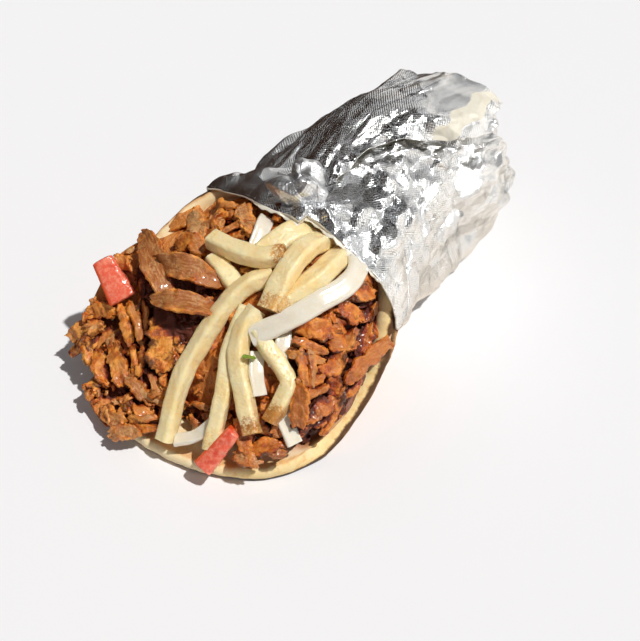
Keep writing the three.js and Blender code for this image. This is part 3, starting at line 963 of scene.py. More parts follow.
# Large slices: their middle line, width, thickness, how seared they are and how much they twist.
SLICES = [
    ([(-60, -45, 44), (-50, -51, 49), (-40, -58, 50.5), (-31, -63, 49), (-22, -67, 44)], 11, 4.6, 0.0, 0.5),
    ([(-41, -56, 51), (-30, -57, 55), (-20, -54.5, 56), (-8, -51, 51)], 10.5, 4.6, 0.03, 0.6),
    ([(-31, -70, 45), (-21, -68, 50), (-12, -64, 50.5), (-4, -59, 46)], 9.5, 4.4, 0.05, 0.7),
    ([(-29, -66, 40), (-22, -72, 36), (-18, -77, 31), (-16, -84, 25)], 14, 5, 0.75, 0.3),
    ([(-62, -88, 15), (-57, -84, 20), (-50, -80, 24)], 8, 4, 0.6, 0.5),
    ([(-60, -80, 23), (-55, -76, 27), (-47, -75, 29)], 7, 3.5, 0.3, 0.4),
    ([(-58, -92, 12), (-54, -88, 17), (-50, -89, 19), (-46, -93, 17)], 7, 3.4, 0.7, 0.8),
    ([(-46, -88, 20), (-41, -92, 16), (-34, -95, 13)], 7, 3.2, 0.5, 0.5),
    ([(-40, -84, 24), (-33, -89, 20), (-27, -93, 15)], 8, 3.6, 0.45, 0.6),
    ([(-46, -71, 33), (-38, -75, 31), (-31, -80, 27)], 7.5, 3.4, 0.35, 0.4),
    ([(-29, -101, 9.5), (-24, -104, 10), (-17, -103, 11)], 7, 4, 0.25, 0.3),
    ([(-20, -109, 7.5), (-15, -106, 9.5), (-9, -102, 11)], 6.5, 4, 0.1, 0.3),
    ([(-16, -101, 11), (-10, -99, 13), (-5, -96, 14)], 7, 3.2, 0.5, 0.5),
    ([(-47, -30, 51), (-39, -34, 53), (-32, -40, 54)], 8.5, 3, 0.15, 0.5),
    ([(-42, -44, 48), (-34, -42, 53), (-27, -45, 53)], 8, 3.2, 0.2, 0.6),
    ([(-38, -22, 56), (-33, -25, 59), (-27, -22, 61)], 7, 3, 0.45, 0.5),
    ([(-26, -20, 62), (-20, -26, 62), (-14, -31, 62)], 7.5, 3, 0.35, 0.5),
    ([(-51, -38, 46), (-47, -31, 50), (-45, -25, 52)], 6, 2.6, 0.2, 0.3),
    ([(-22, -35, 58), (-19, -29, 61), (-13, -26, 63)], 6.5, 3, 0.3, 0.4),
    ([(-2, -10, 64), (-10, -14, 64), (-18, -16, 63)], 7, 3, 0.6, 0.4),
    ([(24, -47, 50), (30, -43, 49.5), (35, -38, 46)], 9, 3.6, 0.6, 0.5),
    ([(27, -53, 46), (32, -51, 45), (38, -46, 41)], 8.5, 3.6, 0.45, 0.5),
    ([(31, -32, 52), (35, -28, 50), (39, -26, 45)], 8, 3.2, 0.6, 0.5),
    ([(35, -41, 45), (39, -37, 42), (41, -31, 39)], 8, 3.4, 0.45, 0.6),
    ([(36, -62, 39), (41, -58, 37), (43, -52, 37)], 8, 3.2, 0.25, 0.4),
    ([(44, -66, 27), (46, -60, 28), (47, -52, 29)], 6.5, 3, 0.25, 0.3),
    ([(38, -60, 39), (42, -66, 33), (45, -70, 27)], 8, 3.4, 0.2, 0.4),
    ([(31, -50, 46), (36, -54, 43), (41, -60, 38)], 6.5, 3, 0.3, 0.4),
    ([(37, -52, 39), (41, -46, 37), (41, -38, 38)], 7, 3.2, 0.6, 0.4),
    ([(28, -24, 55), (33, -21, 54), (38, -17, 51)], 8, 3, 0.6, 0.4),
    ([(29, -20, 57), (33, -16, 54), (35, -15, 50)], 7, 3, 0.6, 0.3),
    ([(36, -27, 45), (38, -21, 44), (37, -16, 46)], 6, 3, 0.7, 0.3),
    ([(33, -84, 17), (37, -81, 19), (41, -77, 20)], 7.5, 3.4, 0.35, 0.4),
    ([(40, -70, 23), (41, -62, 28), (42, -54, 32)], 7.5, 3.2, 0.55, 0.5),
    ([(41, -47, 35), (40, -39, 40), (39, -30, 44)], 7.5, 3.4, 0.5, 0.5),
    ([(37, -76, 22), (39, -70, 25), (41, -65, 27)], 7, 3.2, 0.6, 0.5),
    ([(39, -75, 20), (43, -68, 23), (44, -60, 27)], 7, 3.2, 0.2, 0.5),
    ([(23, -80, 25), (28, -83, 22), (33, -87, 17)], 6.5, 3.2, 0.35, 0.4),
    ([(28, -89, 15), (33, -88, 16), (39, -85, 15)], 6, 3, 0.4, 0.3),
    ([(38, -80, 19), (41, -78, 19), (44, -76, 18)], 5.5, 3, 0.2, 0.3),
    (
        [(46.2, -16.2, 30.0), (47.4, -26.2, 34.0), (48.1, -37.0, 36.0), (47.8, -46.3, 33.0)],
        6.5, 3.6, 0.12, 0.4,
    ),
    ([(44, -41, 33), (45.5, -48, 29), (47, -54, 24)], 8, 3.4, 0.6, 0.5),
    ([(46, -34, 31.5), (46.5, -41, 28), (47, -48, 25)], 6.5, 3, 0.45, 0.4),
    ([(44.5, -51, 28), (45.5, -57, 24), (46, -63, 21)], 7.5, 3.4, 0.3, 0.5),
    ([(40.5, -23, 41), (42, -28, 38), (43, -34, 35)], 6.5, 3, 0.5, 0.4),
    ([(47, -50, 24), (47.5, -56, 21), (47.5, -63, 18)], 6, 3, 0.35, 0.4),
    ([(42, -44, 36), (43.5, -48, 33), (46, -51, 27)], 6.5, 3, 0.65, 0.4),
    ([(-21, -60, 43), (-12, -60, 44), (-4, -59, 45)], 7.5, 3, 0.35, 0.4),
    ([(-17, -67, 37), (-10, -67, 38), (-3, -66, 39)], 8, 3, 0.5, 0.4),
    ([(-9, -61, 42), (-7, -67, 38), (-6, -72, 34)], 6.5, 3, 0.2, 0.4),
    ([(-4, -55, 48), (2, -57, 47), (7, -60, 44)], 5.5, 3, 0.4, 0.4),
]


def slices_shape():
    """The large slices and strips of meat, along the paths in SLICES."""
    rng = np.random.default_rng(7)
    shape = Shape()
    for number, (path, width, thickness, sear, twist) in enumerate(SLICES):
        path = np.array(path, float)
        up = unit(np.array([0.25, -0.45, 1.0]) + rng.normal(size=3) * 0.25)
        if sear < 0.1:
            vertices, faces, seared, grain = ribbon(
                path, up, width, thickness * 0.7, 60 + number * 9,
                steps=60, sides=42, ragged=0.16, twist=twist * 1.8, cup=0.1, rough=0.3, blunt=0.5,
            )
            tone = np.full(len(vertices), 0.75)
            shape.add(vertices, faces, 0, sear=seared + sear, tone=tone, grain=grain)
            continue
        if number % 3 or number < 4:
            vertices, faces, seared, grain = ribbon(
                path, up, width, thickness * 1.05, 60 + number * 9,
                steps=52, sides=36, ragged=0.36, twist=twist * 1.8, cup=0.1, rough=0.95,
            )
            tone = np.full(len(vertices), rng.uniform(0, 1))
            shape.add(vertices, faces, 0, sear=seared + sear, tone=tone, grain=grain)
            continue
        side = unit(np.cross(path[-1] - path[0], up))
        for strand, shift in enumerate((-0.25, 0.26)):
            moved = path + side * shift * width + rng.normal(size=path.shape) * 0.5
            across = width * rng.uniform(0.5, 0.66)
            turn = twist * rng.choice((-1, 1)) * 2.2
            vertices, faces, seared, grain = ribbon(
                moved, unit(up + rng.normal(size=3) * 0.35), across, thickness * rng.uniform(0.85, 1.1),
                60 + number * 29 + strand * 7,
                steps=38, sides=22, ragged=0.36, twist=turn, cup=rng.uniform(-0.14, 0.16), rough=0.85,
            )
            tone = np.full(len(vertices), rng.uniform(0, 1))
            seared = seared + sear + rng.uniform(-0.3, 0.2)
            shape.add(vertices, faces, 0, sear=seared, tone=tone, grain=grain)
    return shape


MOST_TRIES = 6000  # shreds tried before the heap counts as full


def shreds_shape(core, exposed, clear):
    """Smaller shreds that lie over the exposed part of the core and keep clear of the toppings."""
    rng = np.random.default_rng(21)
    vertices = core.vertices[0]
    triangles = np.vstack([core.faces[0][:, :3], core.faces[0][:, [0, 2, 3]], core.faces[1]])
    tree = BVHTree.FromPolygons(vertices.tolist(), triangles.tolist())
    shown = triangles[np.all(triangles < exposed, axis=1)]
    corners = vertices[shown]
    normals = np.cross(corners[:, 1] - corners[:, 0], corners[:, 2] - corners[:, 0])
    area = np.linalg.norm(normals, axis=1)
    centres = corners.mean(1)
    area = area * (centres[:, 1] < -2 - 14 * ramp(25, 40, centres[:, 0]))
    shape = Shape()
    # For each size: how many, lengths, widths, thicknesses, lifts, and the steps and sides of the mesh.
    sizes = (
        (70, (11, 18), (4.2, 7.5), (1.6, 2.8), (1.2, 3.4), (26, 18)),
        (190, (6, 12), (2.2, 4.6), (1.2, 2.2), (0.8, 3.8), (16, 12)),
        (420, (2.2, 5.5), (1.4, 2.6), (0.9, 1.6), (0.6, 3.2), (7, 6)),
    )
    number = 0
    for count, lengths, widths, thicknesses, lifts, detail in sizes:
        made = 0
        while made < count and number < MOST_TRIES:
            number += 1
            start = centres[rng.choice(len(area), p=area / area.sum())]
            flow = unit(rng.normal(size=3) * (1, 1, 0.5))
            length = rng.uniform(*lengths)
            lift = rng.uniform(*lifts)
            sway = lift + np.array([rng.uniform(-1.2, 1.2), 0.1, 0.4, 0.1, rng.uniform(-1.2, 1.2)])
            path, normal = [], np.zeros(3)
            for k in range(5):
                near, way, _, _ = tree.find_nearest(Vector(start + flow * length * (k / 4 - 0.5)))
                way = np.array(way) if way[2] > -0.2 else -np.array(way)
                normal += way
                path.append(np.array(near) + way * sway[k])
            path = np.array(path)
            gap = np.min(np.linalg.norm(path[:, None] - clear[None, :, :3], axis=-1) - clear[None, :, 3])
            width, thickness = rng.uniform(*widths), rng.uniform(*thicknesses)
            if gap < thickness / 2 + 0.2:
                continue
            made += 1
            up = unit(unit(normal) + rng.normal(size=3) * 0.6)
            points, faces, seared, grain = ribbon(
                path, up, width, thickness * 1.15, 900 + number * 9,
                steps=detail[0], sides=detail[1], ragged=0.42,
                twist=rng.normal() * 1.6, cup=rng.uniform(-0.12, 0.16), rough=0.75,
            )
            seared = seared + rng.uniform(-0.15, 0.7)
            tone = np.full(len(points), rng.uniform(0, 1))
            shape.add(points, faces, 0, sear=seared, tone=tone, grain=grain)
    return shape


def meat_material(settings):
    nodes, finish = new_material("shaved_meat")
    place = nodes.place()
    sear, tone, sunk = (nodes.attribute(name) for name in ("sear", "tone", "sunk"))
    grain = nodes.add("ShaderNodeUVMap", uv_map="grain")
    fibres = nodes.noise(nodes.stretched(grain, (1.0, 0.16, 1.0)), 0.1, 4, 0.6, 0.4)
    fine = nodes.noise(nodes.stretched(grain, (1.0, 0.2, 1.0)), 0.04, 3, 0.6)
    blotch = nodes.noise(place, 0.0045, 4, 0.6)
    grit = nodes.noise(place, 0.001, 3, 0.65)
    flesh = nodes.blend(nodes.ramp(tone, 0.3, 0.9) * 0.8, settings.flesh_colour, colour("8f4a24"))
    flesh = nodes.blend(nodes.ramp(fibres, 0.42, 0.7) * 0.42, flesh, colour("f2bb74"))
    flesh = nodes.blend(nodes.ramp(blotch, 0.52, 0.72) * 0.6, flesh, colour("7c3c1b"))
    brown = nodes.blend(nodes.ramp(blotch, 0.4, 0.54), colour("f8a648"), settings.seared_colour)
    brown = nodes.blend(nodes.ramp(blotch, 0.5, 0.66) * 0.85, brown, colour("93390f"))
    brown = nodes.blend(nodes.ramp(fibres, 0.5, 0.75) * 0.45, brown, colour("f6b862"))
    cooked = nodes.ramp(sear + (grit - 0.5) * 0.3 + (blotch - 0.5) * 0.9, 0.12, 0.62)
    base = nodes.blend(cooked, flesh, brown)
    pale = nodes.ramp(tone + (grit - 0.5) * 0.5 + (blotch - 0.5) * 0.5, 0.74, 0.92) * (1 - cooked * 0.7)
    base = nodes.blend(pale * 0.62, base, colour("e4b377"))
    charred = nodes.ramp(sear + grit * 0.9 + blotch * 0.3, 1.3, 1.75)
    base = nodes.blend(charred * 0.85, base, colour("38140a"))
    # Painted shade: the deeper a vertex lies under the meat round it, the redder and darker it is.
    base = nodes.blend(nodes.ramp(sunk, 0.05, 0.5) * 0.8, base, colour("c8692c"), "MULTIPLY")
    base = nodes.blend(nodes.ramp(sunk, 0.3, 0.9) * 0.9, base, colour("521f0d"))
    right = nodes.ramp(nodes.add("ShaderNodeSeparateXYZ", {0: place}), -0.005, 0.03)
    base = nodes.blend(right * 0.55, base, colour("e4c3a6"), "MULTIPLY")
    relief = fibres * 0.28 + fine * 0.2 + grit * 0.5
    return finish(
        Base_Color=base,
        Roughness=0.1 + grit * 0.5 + nodes.ramp(sunk, 0.1, 0.6) * 0.2,
        Specular_IOR_Level=0.45,
        Normal=nodes.bump(relief, 0.8, 0.0013),
        Coat_Weight=nodes.ramp(blotch, 0.42, 0.56) * 0.32,
        Coat_Roughness=0.12,
        Subsurface_Weight=0.06,
        Subsurface_Radius=(1.0, 0.45, 0.25),
        Subsurface_Scale=0.0015,
    )


# ---------------------------------------------------------------- strips of potato and onion

# The middle line of each strip from its upper end to its lower end, its turn in degrees, its width
# and its own values: how browned its lower end is, or its thickness in metres.
FRIES = {
    "fry_1": (
        [(5, -38, 58), (0, -46, 56), (-3, -55, 51), (-5, -72, 37), (-4, -84, 27), (1, -99, 11)],
        20, 6.8, {"Browned": 0.25},
    ),
    "fry_2": (
        [(4, -52, 50), (6, -60, 46), (8, -68, 39), (13, -77, 31), (20, -93, 15)],
        0, 6.2, {"Browned": 0.55},
    ),
    "fry_3": (
        [(9, -52, 53), (9, -60, 48), (12, -67, 42), (19, -73, 35), (32, -82, 24)],
        30, 6.9, {"Browned": 0.8},
    ),
    "fry_4": (
        [(13, -57, 48), (21, -59, 44), (28, -60, 40), (34, -63, 36), (35, -75, 27)],
        10, 6.4, {"Browned": 0.9},
    ),
    "fry_5": ([(3, 1, 58), (2, -11, 60), (0, -22, 64), (-3, -35, 61)], -15, 9.6, {"Browned": 0.0}),
    "fry_6": ([(-25, -40, 59), (-13, -40, 61), (-2, -38, 63), (6, -32, 64.5)], 0, 7.6, {"Browned": 0.78}),
    "fry_7": (
        [(8, 2, 57), (9.5, -11, 59.5), (10, -23, 64.5), (11, -36, 63.5), (14, -51, 55)],
        10, 8.8, {"Browned": 0.7},
    ),
    "fry_8": (
        [(14, 4, 54), (17.5, -8, 56.5), (20, -20, 60.5), (20, -32, 60), (15, -48, 54.5)],
        25, 9.0, {"Browned": 0.7},
    ),
    "fry_9": ([(-21, -44, 54), (-14, -46, 54), (-4, -49, 52)], 0, 7.6, {"Browned": 0.2}),
}

ONIONS = {
    "onion_1": (
        [
            (19, -12, 58.5), (25, -12.5, 59), (29.5, -18, 58.8), (30, -27, 58),
            (27, -37, 57), (22, -48, 53.5), (13, -60, 47),
        ],
        -30, 8.6, {"Thickness": 0.0052, "Corner": 0.0025, "Cup": -30.0, "Taper": 0.85, "Taper Length": 0.024},
    ),
    "onion_2": ([(-14, -20, 62), (-11, -26, 63), (-8, -34, 60)], -20, 6.5, {"Thickness": 0.0024}),
    "onion_3": ([(20, -50, 47), (24, -55, 44), (26, -61, 39)], -20, 6.4, {"Thickness": 0.0027}),
    "onion_4": ([(16, -61, 41), (21, -67, 37), (26, -71, 32)], -20, 6.0, {"Thickness": 0.0027}),
    "onion_5": ([(34, -68, 30), (39, -71, 26), (45, -73, 20)], 0, 6.5, {"Thickness": 0.0027}),
    "onion_6": ([(5, -97, 12), (12, -92, 16), (17, -84, 23)], 0, 6, {"Thickness": 0.0024}),
}


def new_tree(name, inputs):
    """A geometry node tree with named inputs, given as name, type and default."""
    tree = bpy.data.node_groups.new(name, "GeometryNodeTree")
    tree.interface.new_socket("Geometry", in_out="INPUT", socket_type="NodeSocketGeometry")
    tree.interface.new_socket("Geometry", in_out="OUTPUT", socket_type="NodeSocketGeometry")
    for label, kind, default in inputs:
        socket = tree.interface.new_socket(label, in_out="INPUT", socket_type=kind)
        if default is not None:
            socket.default_value = default
    nodes = Nodes(tree)
    start = tree.nodes.new("NodeGroupInput")
    given = {socket.name: Link(nodes, socket) for socket in start.outputs if socket.name}
    return nodes, given


def end_tree(nodes, geometry, material):
    """Ends a tree with Realize Instances and Set Material."""
    whole = nodes.add("GeometryNodeRealizeInstances", {"Geometry": geometry})
    final = nodes.add("GeometryNodeSetMaterial", {"Geometry": whole, "Material": material})
    out = nodes.tree.nodes.new("NodeGroupOutput")
    nodes.tree.links.new(final.socket, out.inputs[0])
    return nodes.tree


def strip_tree():
    """Sweeps a rounded, slightly cupped section along a curve and roughens it."""
    number, length = "NodeSocketFloat", "NodeSocketFloat"
    nodes, given = new_tree(
        "cut_strip",
        [
            ("Width", length, 0.007),
            ("Thickness", length, 0.007),
            ("Corner", length, 0.001),
            ("Cup", number, 0.0),
            ("Turn", number, 0.0),
            ("Taper", number, 0.3),
            ("Taper Length", length, 0.0015),
            ("Swell", length, 0.0004),
            ("Swell Size", length, 0.008),
            ("Grain", length, 0.0001),
            ("Seed", number, 0.0),
            ("Browned", number, 0.0),
            ("Steps", "NodeSocketInt", 60),
            ("Material", "NodeSocketMaterial", None),
        ],
    )
    path = nodes.add("GeometryNodeResampleCurve", {"Curve": given["Geometry"], "Count": given["Steps"]})
    factor = nodes.add("GeometryNodeSplineParameter", output="Factor")
    reached = nodes.add("GeometryNodeSplineParameter", output="Length")
    whole = nodes.add("GeometryNodeSplineLength", output="Length")
    nearest = reached.maths("MINIMUM", reached, whole - reached)
    ending = nodes.add(
        "ShaderNodeMapRange",
        {"Value": nearest, "From Min": 0.0, "From Max": given["Taper Length"]},
        interpolation_type="SMOOTHERSTEP",
    )
    radius = 1 - given["Taper"] * (1 - ending)
    path = nodes.add("GeometryNodeSetCurveRadius", {"Curve": path, "Radius": radius})
    path = nodes.add("GeometryNodeSetCurveTilt", {"Curve": path, "Tilt": given["Turn"]})
    for label, value in (("along", factor), ("browned", given["Browned"])):
        path = nodes.add(
            "GeometryNodeStoreNamedAttribute",
            {"Geometry": path, "Name": label, "Value": value},
            data_type="FLOAT",
            domain="POINT",
        )
    section = nodes.add(
        "GeometryNodeCurvePrimitiveQuadrilateral",
        {"Width": given["Width"], "Height": given["Thickness"]},
        mode="RECTANGLE",
    )
    section = nodes.add(
        "GeometryNodeFilletCurve",
        {"Curve": section, "Radius": given["Corner"], "Count": 5, "Limit Radius": True},
        mode="POLY",
    )
    section = nodes.add("GeometryNodeResampleCurve", {"Curve": section, "Count": 40})
    spot = nodes.add("GeometryNodeInputPosition")
    x = nodes.add("ShaderNodeSeparateXYZ", {0: spot})
    bent = nodes.add("ShaderNodeCombineXYZ", {"Y": x * x * given["Cup"]})
    section = nodes.add("GeometryNodeSetPosition", {"Geometry": section, "Offset": bent})
    strip = nodes.add(
        "GeometryNodeCurveToMesh", {"Curve": path, "Profile Curve": section, "Fill Caps": True}
    )
    spot = nodes.add("GeometryNodeInputPosition")
    moved = nodes.add(
        "ShaderNodeVectorMath", {0: spot, 1: nodes.add("ShaderNodeCombineXYZ", {"X": given["Seed"]})}
    )
    swell = nodes.add(
        "ShaderNodeTexNoise",
        {"Vector": moved, "Scale": 1.0 / given["Swell Size"], "Detail": 1.0},
    )
    grain = nodes.add("ShaderNodeTexNoise", {"Vector": moved, "Scale": 700.0, "Detail": 2.0})
    push = (swell - 0.5) * 2 * given["Swell"] + (grain - 0.5) * 2 * given["Grain"]
    normal = nodes.add("GeometryNodeInputNormal")
    offset = nodes.add("ShaderNodeVectorMath", {0: normal, "Scale": push}, operation="SCALE")
    strip = nodes.add("GeometryNodeSetPosition", {"Geometry": strip, "Offset": offset})
    strip = nodes.add(
        "GeometryNodeSetShadeSmooth", {"Geometry": strip, "Shade Smooth": True}
    )
    return end_tree(nodes, strip, given["Material"])


def apply_tree(source, tree, values, name):
    """Runs a geometry node tree on an object and returns its result as a plain mesh."""
    modifier = source.modifiers.new(name, "NODES")
    modifier.node_group = tree
    for item in tree.interface.items_tree:
        if item.in_out == "INPUT" and item.name in values:
            modifier[item.identifier] = values[item.name]
    graph = bpy.context.evaluated_depsgraph_get()
    mesh = bpy.data.meshes.new_from_object(source.evaluated_get(graph))
    mesh.name = name
    source.modifiers.remove(modifier)
    bpy.data.objects.remove(source)
    return mesh


def smooth_path(name, points):
    """A curve object through points given in the roll's frame."""
    curve = bpy.data.curves.new(name, "CURVE")
    curve.dimensions = "3D"
    curve.twist_mode = "Z_UP"
    line = spline(points, np.linspace(0, 1, 40))
    places = (line + ROLL_TO_OBJECT) * MM
    run = curve.splines.new("POLY")
    run.points.add(len(places) - 1)
    run.points.foreach_set("co", np.hstack([places, np.ones((len(places), 1))]).ravel())
    path = bpy.data.objects.new(name, curve)
    bpy.context.scene.collection.objects.link(path)
    return path


def cut_strips(paths, kind, material, values):
    """One piece for each strip, named for its kind and number."""
    tree = strip_tree()
    for number, (node, (points, turn, width, extra)) in enumerate(paths.items(), 1):
        own = {
            "Turn": float(np.radians(turn)),
            "Width": width * MM,
            "Seed": number * 0.37,
            "Material": material,
        }
        mesh = apply_tree(smooth_path(f"{node}_path", points), tree, values | own | extra, f"{kind}_{number}")
        mesh.materials.clear()
        finish_piece(mesh, f"{kind}_{number}", node.split("_")[0], [node], [material])


def fry_material(settings):
    nodes, finish = new_material("fried_potato")
    place = nodes.place()
    along = nodes.attribute("along")
    patches = nodes.noise(place, 0.009, 3, 0.55)
    mottle = nodes.noise(place, 0.0024, 4, 0.6)
    grit = nodes.noise(place, 0.0008, 3, 0.7)
    pebbles = nodes.noise(place, 0.0015, 1, 0.5)
    base = nodes.blend(nodes.ramp(patches, 0.35, 0.7), settings.colour, colour("f4d79a"))
    base = nodes.blend(nodes.ramp(mottle, 0.5, 0.8) * 0.5, base, colour("faeccc"))
    # Painted shade: edges turned away from the view are tinted warm golden-brown.
    edge = nodes.add("ShaderNodeLayerWeight", {"Blend": 0.5}, output="Facing")
    base = nodes.blend(edge * edge * 0.35, base, colour("e8b55e"))
    amount = nodes.attribute("browned")
    tip = nodes.ramp(along + (patches - 0.5) * 0.3 + (amount - 0.5) * 0.2, 0.8, 0.98) * amount
    browned = nodes.ramp(tip * 0.62 + grit * 0.9 + mottle * 0.25, 0.82, 1.15)
    deep = nodes.ramp(patches + grit * 0.3, 0.55, 0.8)
    burnt = nodes.blend(deep, settings.browned_colour, colour("e0a352"))
    base = nodes.blend(browned * nodes.ramp(tip, 0.05, 0.5), base, burnt)
    specks = nodes.ramp(grit + mottle * 0.4, 0.98, 1.03)
    base = nodes.blend(specks * 0.7, base, colour("a56d26"))
    return finish(
        Base_Color=base,
        Roughness=0.2 + mottle * 0.2,
        Specular_IOR_Level=0.55,
        Normal=nodes.bump(pebbles + grit * 0.4, 0.4, 0.001),
        Coat_Weight=0.12,
        Coat_Roughness=0.15,
        Subsurface_Weight=0.45,
        Subsurface_Radius=(1.0, 0.75, 0.38),
        Subsurface_Scale=0.004,
    )


def onion_material(settings):
    nodes, finish = new_material("onion_flesh")
    place = nodes.place()
    patches = nodes.noise(place, 0.008, 3, 0.5)
    veins = nodes.noise(place, 0.0015, 3, 0.5)
    base = nodes.blend(patches, settings.colour, colour("e4d8bf"))
    base = nodes.blend(nodes.ramp(veins, 0.5, 0.8) * 0.35, base, colour("f7f4ea"))
    return finish(
        Base_Color=base,
        Roughness=0.16 + veins * 0.12,
        Normal=nodes.bump(veins, 0.2, 0.0004),
        Subsurface_Weight=0.45,
        Subsurface_Radius=(1.0, 0.85, 0.6),
        Subsurface_Scale=0.003,
        Coat_Weight=0.4,
        Coat_Roughness=0.06,
    )


# ---------------------------------------------------------------- tomato, leaf and seasoning

TOMATO_FACING = (0.42, -0.5, 0.75)
# Each piece's width, height and ends, and the side of it that its skin is on.
TOMATOES = {
    "tomato_1": (11, 6, (-47, -70, 33), (-62, -66, 43.5), 1),
    "tomato_2": (7.5, 6, (20, -98, 9), (25, -84, 23), 1),
}


def tomato_shape(width, height, start, end, skin_side, seed):
    """A cut wedge of tomato with a rounded face, a strip of skin along one side and soft flesh."""
    start, end = np.array(start, float), np.array(end, float)
    along = end - start
    across = unit(np.cross(TOMATO_FACING, along))
    up = unit(np.cross(along, across))
    turns = round_angles(72)
    c, s = np.cos(turns), np.sin(turns)
    x = np.sign(c) * np.abs(c) ** 0.25 * width / 2
    y = np.sign(s) * np.abs(s) ** 0.3 * height / 2
    y = y + height * 0.16 * (1 - (2 * x / width) ** 2) * (y > 0)
    t = (1 - np.cos(np.linspace(0.02, np.pi - 0.02, 60))) / 2
    end_round = np.minimum(np.sin(np.pi * t) / 0.1, 1) ** 0.22
    squeeze = 1.1 - 0.35 * t
    points = (
        start
        + along * t[:, None, None]
        + across * (x * (end_round * squeeze)[:, None])[..., None]
        + up * (y * end_round[:, None])[..., None]
    )
    outward = unit(points - (start + along * t[:, None, None]))
    side = np.broadcast_to(2 * x / width * skin_side, points.shape[:2])
    skin = ramp(0.62, 0.9, side)
    bumps = (0.45 * noise(points, 2.2, seed) + 0.25 * noise(points, 1.1, seed + 1)) * (1 - 0.85 * skin)
    points = points + outward * bumps[..., None]
    vertices, faces = tube_mesh(points)
    shape = Shape()
    shape.add(vertices, faces, skin=np.append(skin.ravel(), (0, 0)))
    return shape


def tomato_material(settings):
    nodes, finish = new_material("tomato_flesh")
    place = nodes.place()
    skin = nodes.attribute("skin")
    pulp = nodes.noise(place, 0.0016, 4, 0.6)
    patches = nodes.noise(place, 0.005, 3, 0.5)
    flesh = nodes.blend(nodes.ramp(pulp, 0.35, 0.7), colour("f0664a"), colour("f8997c"))
    flesh = nodes.blend(nodes.ramp(patches, 0.52, 0.75) * 0.6, flesh, colour("d8332b"))
    base = nodes.blend(skin, flesh, settings.skin_colour)
    return finish(
        Base_Color=base,
        Roughness=0.22,
        Normal=nodes.bump(pulp, 0.35, 0.0005),
        Subsurface_Weight=0.3,
        Subsurface_Radius=(1.0, 0.3, 0.2),
        Subsurface_Scale=0.003,
        Coat_Weight=0.5,
        Coat_Roughness=0.08,
    )


def leaf_shape():
    """A small chopped leaf just clear of the onion and the meat."""
    t, s = np.meshgrid(np.linspace(0, 1, 14), np.linspace(-1, 1, 9), indexing="ij")
    half = 1.5 * np.sin(np.pi * (0.12 + 0.8 * t)) ** 0.7
    x = 17.0 + s * half + 1.2 * t
    y = -66.5 + 5.2 * (t - 0.5)
    z = 44.2 - 3.4 * (t - 0.5) + 0.5 * s * s + 0.4 * np.sin(6 * t)
    top = np.stack([x, y, z], -1)
    vertices, faces = sheet_mesh(top, top - (0, 0, 0.3))
    shape = Shape()
    shape.add(vertices, faces)
    return shape


def leaf_material():
    nodes, finish = new_material("herb_leaf")
    veins = nodes.noise(nodes.place(), 0.0012, 3, 0.6)
    base = nodes.blend(veins, colour("55791c"), colour("8fa637"))
    return finish(Base_Color=base, Roughness=0.4, Normal=nodes.bump(veins, 0.4, 0.0004))


def scatter_tree():
    """Strews small lumpy grains over the part of a surface that faces upwards."""
    nodes, given = new_tree(
        "strewn_grains",
        [
            ("Density", "NodeSocketFloat", 20000.0),
            ("Size", "NodeSocketFloat", 0.0008),
            ("Front", "NodeSocketFloat", 0.0),
            ("Seed", "NodeSocketInt", 3),
            ("Material", "NodeSocketMaterial", None),
        ],
    )
    spot = nodes.add("GeometryNodeInputPosition")
    split = nodes.add("ShaderNodeSeparateXYZ", {0: spot})
    along = Link(nodes, split.socket.node.outputs["Y"])
    patches = nodes.add("ShaderNodeTexNoise", {"Vector": spot, "Scale": 130.0, "Detail": 2.0})
    facing = nodes.add("ShaderNodeSeparateXYZ", {0: nodes.add("GeometryNodeInputNormal")})
    upward = Link(nodes, facing.socket.node.outputs["Z"])
    shown = along.maths("LESS_THAN", along, given["Front"]) * upward.maths("GREATER_THAN", upward, 0.1)
    density = given["Density"] * shown * nodes.ramp(patches, 0.42, 0.62)
    points = nodes.add(
        "GeometryNodeDistributePointsOnFaces",
        {"Mesh": given["Geometry"], "Density": density, "Seed": given["Seed"]},
        distribute_method="RANDOM",
    )
    grain = nodes.add("GeometryNodeMeshIcoSphere", {"Radius": given["Size"], "Subdivisions": 1})
    turn = nodes.add(
        "FunctionNodeRandomValue",
        {"Min": (0.0, 0.0, 0.0), "Max": (6.283, 6.283, 6.283), "Seed": given["Seed"]},
        data_type="FLOAT_VECTOR",
    )
    scale = nodes.add(
        "FunctionNodeRandomValue",
        {"Min": (0.4, 0.4, 0.3), "Max": (1.5, 1.1, 0.8), "Seed": 9},
        data_type="FLOAT_VECTOR",
    )
    strewn = nodes.add(
        "GeometryNodeInstanceOnPoints",
        {"Points": points, "Instance": grain, "Rotation": turn, "Scale": scale},
    )
    return end_tree(nodes, strewn, given["Material"])


def crumb_material():
    nodes, finish = new_material("browned_crumb")
    place = nodes.place()
    patches = nodes.noise(place, 0.004, 3, 0.6)
    base = nodes.blend(nodes.ramp(patches, 0.35, 0.65), colour("c9803c"), colour("7b3d18"))
    base = nodes.blend(nodes.ramp(nodes.noise(place, 0.007, 2), 0.58, 0.66), base, colour("e6b47a"))
    return finish(Base_Color=base, Roughness=0.45, Normal=nodes.bump(patches, 0.3, 0.0003))


# ---------------------------------------------------------------- the stage


